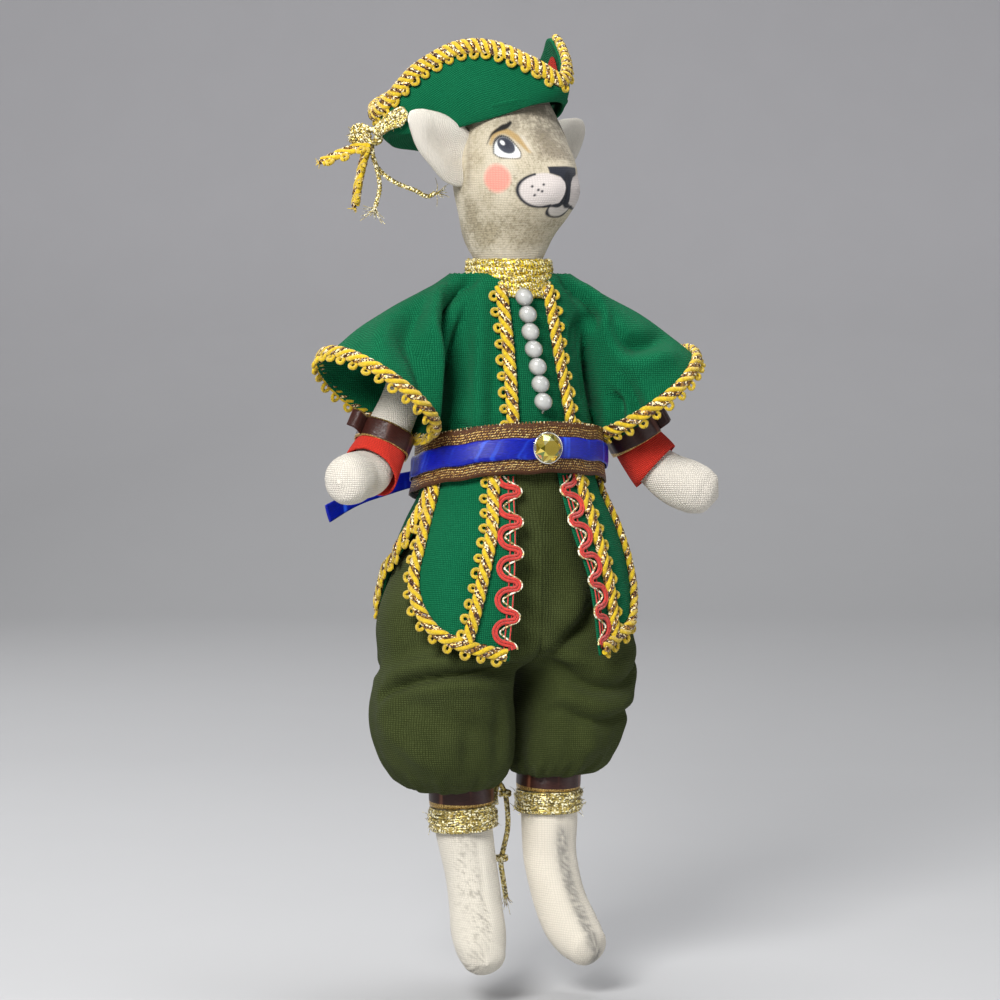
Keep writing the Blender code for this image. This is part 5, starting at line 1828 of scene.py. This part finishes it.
def paint_face(points, a, z):
    """The painted face, the same on both sides, with painted shade where each ear meets the head. a is in degrees
    from the middle of the face.
    """
    count = len(a)
    near = np.abs(a)
    paint = np.zeros((count, 4))
    blotch = np.array([noise.noise(Vector(p) / 4.5) for p in points])
    fine = np.array([noise.noise(Vector(p) / 0.9) for p in points])
    speck = np.array([noise.noise(Vector(p) / 0.42) for p in points])
    paint[:, :3] = np.array([0.56, 0.50, 0.385])
    paint[:, 3] = 0.45
    light = np.clip(1 - oval(near, z, (62, 176), (4.2, 7.0)), 0, 1)
    cover(paint, light * 0.75, (0.66, 0.62, 0.52), 0.75)
    # Darker towards the sides and back of the head, in blotches.
    side_darkening = np.clip(0.42 + blotch * 1.1 + 0.5 * fine, 0, 1) * np.clip(np.abs(a) / 70 - 0.25, 0, 1)
    cover(paint, side_darkening * 0.45, (0.33, 0.27, 0.16), 0.2)
    low = np.clip((171 - z) / 8, 0, 1) * np.clip(0.45 + blotch + 0.6 * fine, 0, 1)
    cover(paint, low * 0.5, (0.30, 0.25, 0.15), 0.15)
    neck = np.clip((161.5 - z) / 3, 0, 1)
    cover(paint, neck * 0.7, (0.68, 0.64, 0.55), 0.6)
    # Darker across the upper face and forehead, in blotches.
    reach = 30 + 14 * np.clip((z - 182) / 6, 0, 1)
    bridge = np.clip(1.35 - near / reach, 0, 1) * np.clip((z - 177.6) / 3.0, 0, 1)
    upper_face_darkening = np.clip(bridge * (0.8 + 1.0 * blotch + 0.7 * fine + 0.5 * speck), 0, 1)
    cover(paint, upper_face_darkening * 0.66, (0.14, 0.11, 0.08), 0.1)
    brow_top = np.clip((z - 184.5) / 3, 0, 1) * np.clip(1.4 - near / 70, 0, 1)
    brow_top = brow_top * np.clip(0.7 + blotch + 0.7 * fine + 0.5 * speck, 0, 1)
    cover(paint, brow_top * 0.6, (0.20, 0.175, 0.13), 0.1)
    # Painted shade: a dark band where each ear meets the head.
    root = np.exp(-(((near - 91) / 3.2) ** 2)) * np.clip((z - 172.5) / 2, 0, 1) * np.clip((188.5 - z) / 2, 0, 1)
    cover(paint, root * 0.3, (0.085, 0.055, 0.035), 0.1)
    temple = np.clip((near - 80) / 20, 0, 1) * np.clip(0.3 + blotch + 0.8 * fine, 0, 1)
    cover(paint, temple * 0.4, (0.24, 0.2, 0.13), 0.2)
    worn = np.clip(0.45 + 0.9 * blotch + np.clip((172 - z) / 8, 0, 1) * 0.5, 0, 1)
    cover(paint, np.clip((speck - 0.1) * 4, 0, 1) * 0.55 * worn * (1 - 0.8 * neck), (0.17, 0.145, 0.09), 0.2)
    cover(paint, np.clip((fine - 0.12) * 3, 0, 1) * 0.4 * worn * (1 - neck), (0.30, 0.26, 0.17), 0.2)

    cheek = oval(near, z, (65.8, 175.1), (2.4, 3.05))
    cover(paint, edge((cheek - 1) * 2.8, 0.5) * 0.93, (0.84, 0.29, 0.235), 0.85)

    lid = [(67, 182.6), (59, 185.0), (49, 185.5), (40, 184.0), (34.5, 181.2)]
    lid = stroke(near, z, lid, [0.5, 1.3, 1.5, 1.7, 0.8])
    cover(paint, edge(lid, 0.3) * 0.9, (0.42, 0.28, 0.11), 0.8)
    glow = stroke(near, z, [(34, 184), (32.5, 181.5)], [0.8, 0.5])
    cover(paint, edge(glow, 0.5) * 0.5, (0.72, 0.68, 0.62), 0.8)
    eye = [(66, 180.6), (64.5, 182.2), (60, 183.7), (54, 184.4), (48.5, 184.1), (44, 182.6)]
    eye += [(42.3, 180.9), (44, 179.9), (53, 179.6), (63, 179.9), (66, 180.6)]
    inside = in_outline(near, z, eye)
    rim = stroke(near, z, eye, [0.36, 0.45, 0.6, 0.6, 0.5, 0.4, 0.34, 0.3, 0.3, 0.34, 0.36])
    cover(paint, inside, (0.90, 0.92, 0.93), 1.0)
    iris = oval(near, z, (53.0, 182.4), (1.95, 1.8))
    cover(paint, edge((iris - 1) * 1.9, 0.2) * inside, (0.055, 0.062, 0.082), 1.0)
    pupil = oval(near, z, (52.5, 182.8), (1.2, 1.1))
    cover(paint, edge((pupil - 1) * 1.0, 0.5) * inside * 0.6, (0.02, 0.022, 0.035), 1.0)
    glint = oval(near, z, (55.4, 183.0), (0.46, 0.46))
    cover(paint, edge((glint - 1) * 0.5, 0.2), (0.95, 0.96, 0.97), 1.0)
    cover(paint, edge(rim, 0.16), DARK, 1.0)
    brow = [(70.5, 182.6), (63, 184.8), (54, 186.0), (43.5, 187.0), (41, 187.4)]
    brow = stroke(near, z, brow, [0.15, 0.4, 0.75, 1.25, 0.7])
    cover(paint, edge(brow, 0.18), BROW_BLACK, 1.0)

    far_brow = stroke(a, z, [(33, 188.2), (38, 186.2), (43, 183.4)], [0.5, 0.9, 0.3])
    cover(paint, edge(far_brow, 0.18), BROW_BLACK, 1.0)

    pad = oval(near, z, (29.0, 172.6), (5.4, 3.7), 0.06)
    inner = oval(near, z, (14.0, 172.4), (3.6, 3.2))
    inside = np.maximum(edge((pad - 1) * 4.0, 0.2), edge((inner - 1) * 3.2, 0.2))
    cover(paint, inside, (0.60, 0.55, 0.535), 0.9)
    ring = np.abs(pad - 1) * 4.0 - 0.25
    hidden = ((near < 36) & (z > 175.2)) | (inner < 0.97) | (near < 9)
    cover(paint, edge(ring, 0.16) * ~hidden, DARK, 1.0)
    dots = [(39.8, 173.4), (34.6, 172.6), (30.4, 173.7), (31.4, 172.3), (37.2, 171.5)]
    for dot in dots:
        spot = oval(near, z, dot, (0.27, 0.27))
        cover(paint, edge((spot - 1) * 0.3, 0.15), DARK, 1.0)
    nose = [(24.6, 177.7), (0, 177.9), (-24.6, 177.7), (-24.0, 176.2), (-12, 175.4), (-7, 174.4)]
    nose += [(0, 173.9), (7, 174.4), (12, 175.4), (24.0, 176.2), (24.6, 177.7)]
    cover(paint, in_outline(a, z, nose), (0.018, 0.021, 0.032), 1.0)
    philtrum = stroke(a, z, [(0, 175), (0, 172), (0, 170.2), (0, 169.4)], [3.4, 2.3, 2.8, 4.2])
    cover(paint, edge(philtrum, 0.16), DARK, 1.0)
    mouth = stroke(near, z, [(0, 169.9), (6, 169.3), (14, 169.1), (24, 168.9)], [1.2, 1.0, 0.5, 0.4])
    cover(paint, edge(mouth, 0.16), DARK, 1.0)
    lip = [(-17.5, 169.2), (0, 169.3), (17.5, 169.2), (16.5, 168.1), (9, 167.2), (0, 166.9)]
    lip += [(-9, 167.2), (-16.5, 168.1), (-17.5, 169.2)]
    cover(paint, in_outline(a, z, lip), (0.58, 0.54, 0.51), 0.9)
    under = stroke(near, z, [(18.5, 169.1), (16.5, 168.0), (9, 167.0), (0, 166.75)], [0.5, 0.7, 0.42, 0.36])
    cover(paint, edge(under, 0.16), DARK, 1.0)
    cover(paint, edge(mouth, 0.16), DARK, 1.0)
    return paint


def in_outline(a, z, outline):
    """1 inside a closed outline on the face, 0 outside, soft at its edge."""
    line = np.array([(p[0] * SKIN_SCALE, p[1]) for p in outline], float)
    x, y = a * SKIN_SCALE, z
    crossings = np.zeros(x.shape, bool)
    nearest = np.full(x.shape, 99.0)
    for (x0, y0), (x1, y1) in zip(line[:-1], line[1:]):
        if y0 != y1:
            hit = ((y0 > y) != (y1 > y)) & (x < (x1 - x0) * (y - y0) / (y1 - y0) + x0)
            crossings ^= hit
        d = np.array([x1 - x0, y1 - y0])
        t = np.clip(((x - x0) * d[0] + (y - y0) * d[1]) / (d @ d), 0, 1)
        nearest = np.minimum(nearest, np.hypot(x - x0 - t * d[0], y - y0 - t * d[1]))
    return edge(np.where(crossings, -nearest, nearest))


def head():
    cols, rows = 460, 300
    spread = np.linspace(-1, 1, cols, endpoint=False)
    a = pi * (0.62 * spread + 0.38 * spread**3)
    z = np.linspace(150.8, 197.9, rows)
    aa, zz = np.meshgrid(a, z)
    points = head_point(aa, zz)
    flat = points.reshape(-1, 3)
    index = np.arange(rows * cols).reshape(rows, cols)
    step = np.roll(index, -1, 1)
    faces = np.stack([index[:-1], step[:-1], step[1:], index[1:]], -1).reshape(-1, 4)
    normals = vertex_normals(flat, faces)
    if (normals * (flat - [0, 0, 175])).sum() < 0:
        faces, normals = faces[:, ::-1], -normals
    angle, height = np.degrees(aa).ravel(), zz.ravel()
    paint = paint_face(flat, angle, height)
    near = np.abs(angle)
    socket = bump_of(oval(near, height, (50, 181.5), (4.6, 3.6))) * -0.5
    pads = bump_of(oval(near, height, (30, 172.4), (5.4, 4.4)) * 0.95) * 0.6
    cleft = -0.35 * np.exp(-((angle * SKIN_SCALE / 0.7) ** 2)) * bump_of((height - 172) / 5)
    flat = flat + normals * (socket + pads + cleft)[:, None]
    flat = flat + wander(flat, 6.0, 0.16, 1.0) + wander(flat, 14.0, 0.3, 2.0)
    heap = Heap()
    u = angle[faces] * 0.22
    once_round = 79.2
    jump = u - u[:, :1]
    u = np.where(jump > 40, u - once_round, np.where(jump < -40, u + once_round, u))
    heap.add(turned(flat, HEAD_TURN), faces, np.stack([u, height[faces]], -1))
    heap.fan(turned(flat[-cols:], HEAD_TURN))
    mesh = mesh_of("head_linen", heap)
    layer = mesh.color_attributes.new("paint", "FLOAT_COLOR", "POINT")
    full = np.ones((len(mesh.vertices), 4)) * 0.5
    full[: len(paint)] = paint
    layer.data.foreach_set("color", full.ravel())
    obj = place("head_linen", mesh, HEAD_PAINT.material, "head", ["head"])


# An ear's outline, as (out from its root, low edge, high edge), and how it cups
EAR = [
    (-1.5, 174.5, 185.0, 1.4),
    (1.0, 173.5, 187.2, 2.0),
    (3.5, 174.0, 188.6, 2.4),
    (6.3, 175.5, 189.6, 2.4),
    (9.0, 178.0, 190.0, 2.1),
    (11.6, 181.0, 190.2, 1.7),
    (13.2, 183.6, 190.0, 1.2),
    (14.2, 185.8, 189.5, 0.7),
    (14.7, 187.2, 188.6, 0.25),
]


def ears():
    for side, name in SIDES:
        out = np.r_[np.linspace(-1.5, 13.4, 40), np.linspace(13.6, 14.69, 9)]
        low, high, thick = table_at(EAR, out)
        rings = []
        for o, lo, hi, th in zip(out, low, high, thick):
            k = np.linspace(0, TAU, 40, endpoint=False)
            half = (hi - lo) / 2
            zz = (hi + lo) / 2 + half * np.cos(k)
            y = 2.0 + 0.12 * o + th * np.sin(k)
            dish = 2.3 * np.exp(-(((np.cos(k) + 0.05) / 0.5) ** 2)) * np.clip(-np.sin(k), 0, 1)
            rim = 0.9 * np.exp(-(((np.cos(k) - 0.75) / 0.3) ** 2))
            y = y + dish * bump_of((o - 4.5) / 8.5) - rim * bump_of((o - 3) / 6)
            rings.append(np.stack([side * (11.6 + o + 0 * k), y, zz], 1))
        rings = np.array(rings)
        points = turned(rings, HEAD_TURN)
        points = points + wander(points.reshape(-1, 3), 6.0, 0.3, side * 3.0).reshape(points.shape)
        heap = Heap()
        heap.grid(points, closed=True, flip=side < 0)
        heap.fan(points[-1], flip=side > 0)
        obj = piece("ear_linen_" + name, heap, LINEN.material, "head", ["ear_" + name])


# ---------------------------------------------------------------- hat

HAT_BACK, HAT_Z, HAT_TILT = 8.4, 188.4, radians(13)


def hat_radius(angle):
    """The brim's fold in plan: three corners, one of them in front."""
    return 16.6 + 6.3 * np.abs(np.cos(1.5 * angle)) ** 3.2


# (degrees from the front corner, height of the brim, how far its fold hangs below the hat's plane)
HAT_EDGE = [
    (-135, 7.6, 1.8),
    (-120, 4.8, 0.8),
    (-105, 6.8, 1.8),
    (-90, 11.2, 2.2),
    (-75, 13.4, 2.6),
    (-60, 14.6, 2.4),
    (-45, 14.3, 2.1),
    (-30, 12.0, 1.8),
    (-15, 7.6, 1.2),
    (0, 3.4, 1.0),
    (15, 9.0, 1.0),
    (30, 15.6, 1.4),
    (45, 13.6, 1.6),
    (60, 12.2, 2.0),
    (90, 11.0, 2.2),
    (105, 8.5, 2.2),
    (120, 5.0, 1.8),
    (135, 7.6, 1.8),
    (155, 11.0, 2.0),
    (180, 12.6, 2.2),
    (205, 11.0, 2.0),
    (225, 7.6, 1.8),
    (240, 4.8, 0.8),
    (255, 6.8, 1.8),
]


# (height, centre forward, half length, half width)
CROWN = [
    (0.0, -0.6, 13.6, 11.4),
    (4.0, -0.8, 12.8, 10.8),
    (7.0, -1.8, 10.0, 9.0),
    (9.0, -2.2, 6.0, 5.6),
    (9.8, -2.4, 0.6, 0.6),
]


def hat_edge(angle):
    degrees = (np.degrees(angle) + 130) % 360 - 130
    return table_at(HAT_EDGE, degrees)


def hat_point(angle, up, out=0.0):
    """The turned-up brim: up 0 is its fold and up 1 its edge; angle 0 is the front corner."""
    angle, up = np.broadcast_arrays(np.asarray(angle, float), np.asarray(up, float))
    high, drop = hat_edge(angle)
    belly = np.sin(pi * np.clip(up, 0, 1) ** 0.8)
    radius = hat_radius(angle) + out + 1.0 * up + 1.3 * belly - 0.6
    forward, left = radius * np.cos(angle), radius * np.sin(angle)
    height = up * (high + drop) - drop
    f = forward * cos(HAT_TILT) - height * sin(HAT_TILT) - HAT_BACK
    z = HAT_Z + forward * sin(HAT_TILT) + height * cos(HAT_TILT)
    return np.stack([left, -f, z], -1)


def hat_base(angle):
    """Where the brim meets the crown, close round the head."""
    fold = hat_point(angle, 0 * angle)
    bearing = np.arctan2(fold[..., 0] / 11.6, (-fold[..., 1] + 0.6) / 13.2)
    f = -0.6 + 13.2 * np.cos(bearing)
    z = HAT_Z + (f + HAT_BACK) * sin(HAT_TILT) / cos(HAT_TILT) + 0.3
    return np.stack([11.6 * np.sin(bearing), -f, z], -1)


def hat():
    angles = np.linspace(0, TAU, 240, endpoint=False)
    base = hat_base(angles)
    fold = hat_point(angles, 0.0, -1.0)
    rows = [base + (fold - base) * t for t in np.linspace(0, 0.86, 6)]
    rows += [hat_point(angles, -0.04, -0.8), hat_point(angles, -0.05, -0.3)]
    rows += [hat_point(angles, up) for up in np.linspace(0, 1, 26)]
    points = np.array(rows)
    flat = points.reshape(-1, 3)
    flat = flat + wander(flat, 14.0, 0.4, 8.0) * np.clip((flat[:, 2:] - 186) / 8, 0.2, 1)
    points = turned(flat.reshape(points.shape), HAT_TURN)
    heap = Heap()
    heap.grid(points, closed=True)
    obj = piece("hat_cloth", heap, GREEN.material, "head", ["hat_brim"])
    solidify(obj, 0.8, -1)
    crown = Heap()
    rings = []
    for up in np.linspace(0.0, CROWN[-1][0], 22):
        f, long, wide = (float(v) for v in table_at(CROWN, up))
        reach = f + long * np.cos(angles)
        rings.append(np.stack([wide * np.sin(angles), -reach, HAT_Z + (reach + HAT_BACK) * 0.231 + 1.2 + up], 1))
    crown.grid(turned(np.array(rings), HAT_TURN), closed=True)
    crown.fan(turned(rings[-1], HAT_TURN))
    piece("hat_crown_cloth", crown, GREEN.material, "head", ["hat_crown"])
    run = np.linspace(radians(-122), radians(-122) + TAU, 260)
    path = hat_point(run, 0.93, 0.25)
    outer = hat_point(run, 0.93, 2.0)
    path = path + wander(path, 14.0, 0.4, 8.0)
    path, outer = turned(path, HAT_TURN), turned(outer, HAT_TURN)
    outward = unit(outer - path)
    braid("hat_edge", path, outward, "head", ["hat_braid"], -1, width=1.2, lift=0.6, pitch=3.1, turns=-0.8)
    lining = Heap()
    run = np.linspace(radians(27), radians(40), 12)
    rows = [turned(hat_point(run, up, -1.25), HAT_TURN) for up in np.linspace(0.42, 0.74, 8)]
    lining.grid(np.array(rows), flip=True)
    piece("hat_lining_patch", lining, RED.material, "head")


BOW_SHIFT = np.array([1.4, -1.0, -1.2])
BOW = np.array([-24.2, 21.4, 186.0]) + BOW_SHIFT
BOW_LOOPS = {
    "large": [
        (0.3, -0.8, 0.9),
        (0.2, -4.6, 3.6),
        (0.6, -8.6, 4.6),
        (0.7, -9.0, 3.6),
        (0.1, -5.2, 2.0),
        (0, -0.8, -0.4),
    ],
    "small": [
        (-0.3, 0.4, 0.7),
        (-1.5, 2.1, 1.6),
        (-2.6, 3.7, 0.7),
        (-2.6, 3.7, -0.4),
        (-1.3, 2.1, -0.7),
        (-0.4, 0.5, -0.5),
    ],
}
BRAID_TAILS = {
    "upper": [(-24.6, 22.0, 184.6), (-26.6, 24.4, 183.4), (-28.8, 27.4, 182.0), (-31.0, 30.2, 180.4)],
    "lower": [(-24.8, 22.2, 184.0), (-25.6, 23.0, 180.0), (-26.3, 23.7, 175.6), (-26.7, 24.2, 170.8)],
}
CORD_TAILS = {
    "front": [
        (-24.0, 21.8, 184.4),
        (-23.6, 21.3, 180.2),
        (-21.0, 18.7, 176.4),
        (-17.6, 14.9, 174.2),
        (-15.2, 12.4, 172.9),
        (-14.6, 11.6, 173.6),
    ],
    "down": [(-24.4, 22.2, 184.0), (-23.8, 20.6, 179.2), (-23.4, 20.0, 174.6), (-24.0, 20.6, 170.8)],
}


def bow():
    """Gold cord tied in a bow at the hat's right rear corner, with the braid's two ends under it."""
    heap = Heap()
    for points in BOW_LOOPS.values():
        path = turned(smooth_path(BOW + np.array(points), 40), HAT_TURN)
        for shift in ((0, 0, 0), (0.3, -0.2, 0.5), (-0.2, 0.25, -0.5), (0.1, 0.1, 0.9)):
            two_ply(heap, path + np.array(shift), 0.5, 1.2)
        for _ in range(16):
            start = path[RNG.integers(3, 36)]
            frayed(heap, start, RNG.normal(0, 1, 3), 1.6, 1, 0.4, 0.08)
    knot = turned(BOW, HAT_TURN)
    for k in range(3):
        t = np.linspace(0, TAU * 1.2, 40)
        ring = np.stack([1.5 * np.cos(t + k), 1.2 * np.sin(t), 1.5 * np.sin(t + k * 0.8)], 1)
        heap.tube(knot + ring, 0.62, 6)
    piece("bow_cord", heap, GOLD.material, "head", ["hat_bow"])
    for name, points in CORD_TAILS.items():
        heap = Heap()
        path = turned(smooth_path(points, 30) + BOW_SHIFT, HAT_TURN)
        two_ply(heap, path, 0.56, 1.3)
        frayed(heap, path[-2], path[-1] - path[-4], 4.0, 16, 0.38, 0.11)
        piece("cord_end_" + name, heap, GOLD.material, "head", ["hat_cord_tail_" + name])
    for name, points in BRAID_TAILS.items():
        path = turned(smooth_path(points, 30) + BOW_SHIFT, HAT_TURN)
        away = unit(path - turned(np.array([0, 8.4, 180.0]), HAT_TURN))
        braid("braid_end_" + name, path, away, "head", ["hat_braid_tail_" + name], lift=0.0)
        heap = Heap()
        frayed(heap, path[-1], path[-1] - path[-4], 1.8, 10, 0.5, 0.16)
        piece("braid_fray_" + name, heap, YELLOW.material, "head")


def hidden_nodes():
    """The pieces inside keep their solids, and get their finish."""
    for name, finish in (("torso_body", LINEN), ("shoulder_thread", THREAD), ("hip_thread", THREAD)):
        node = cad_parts[name]
        node.data.materials.clear()
        node.data.materials.append(finish.material)


# The order matters: the loose ends and windings draw their random numbers one after another
camera()
studio()
boot_cord()
sash()
coat_top()
for right_or_left in SIDES:
    front_panel(*right_or_left)
back_panel()
sleeve_braids()
coat_braids()
belt()
beads()
gem()
collar()
breeches()
arms()
legs()
head()
ears()
hat()
bow()
hidden_nodes()
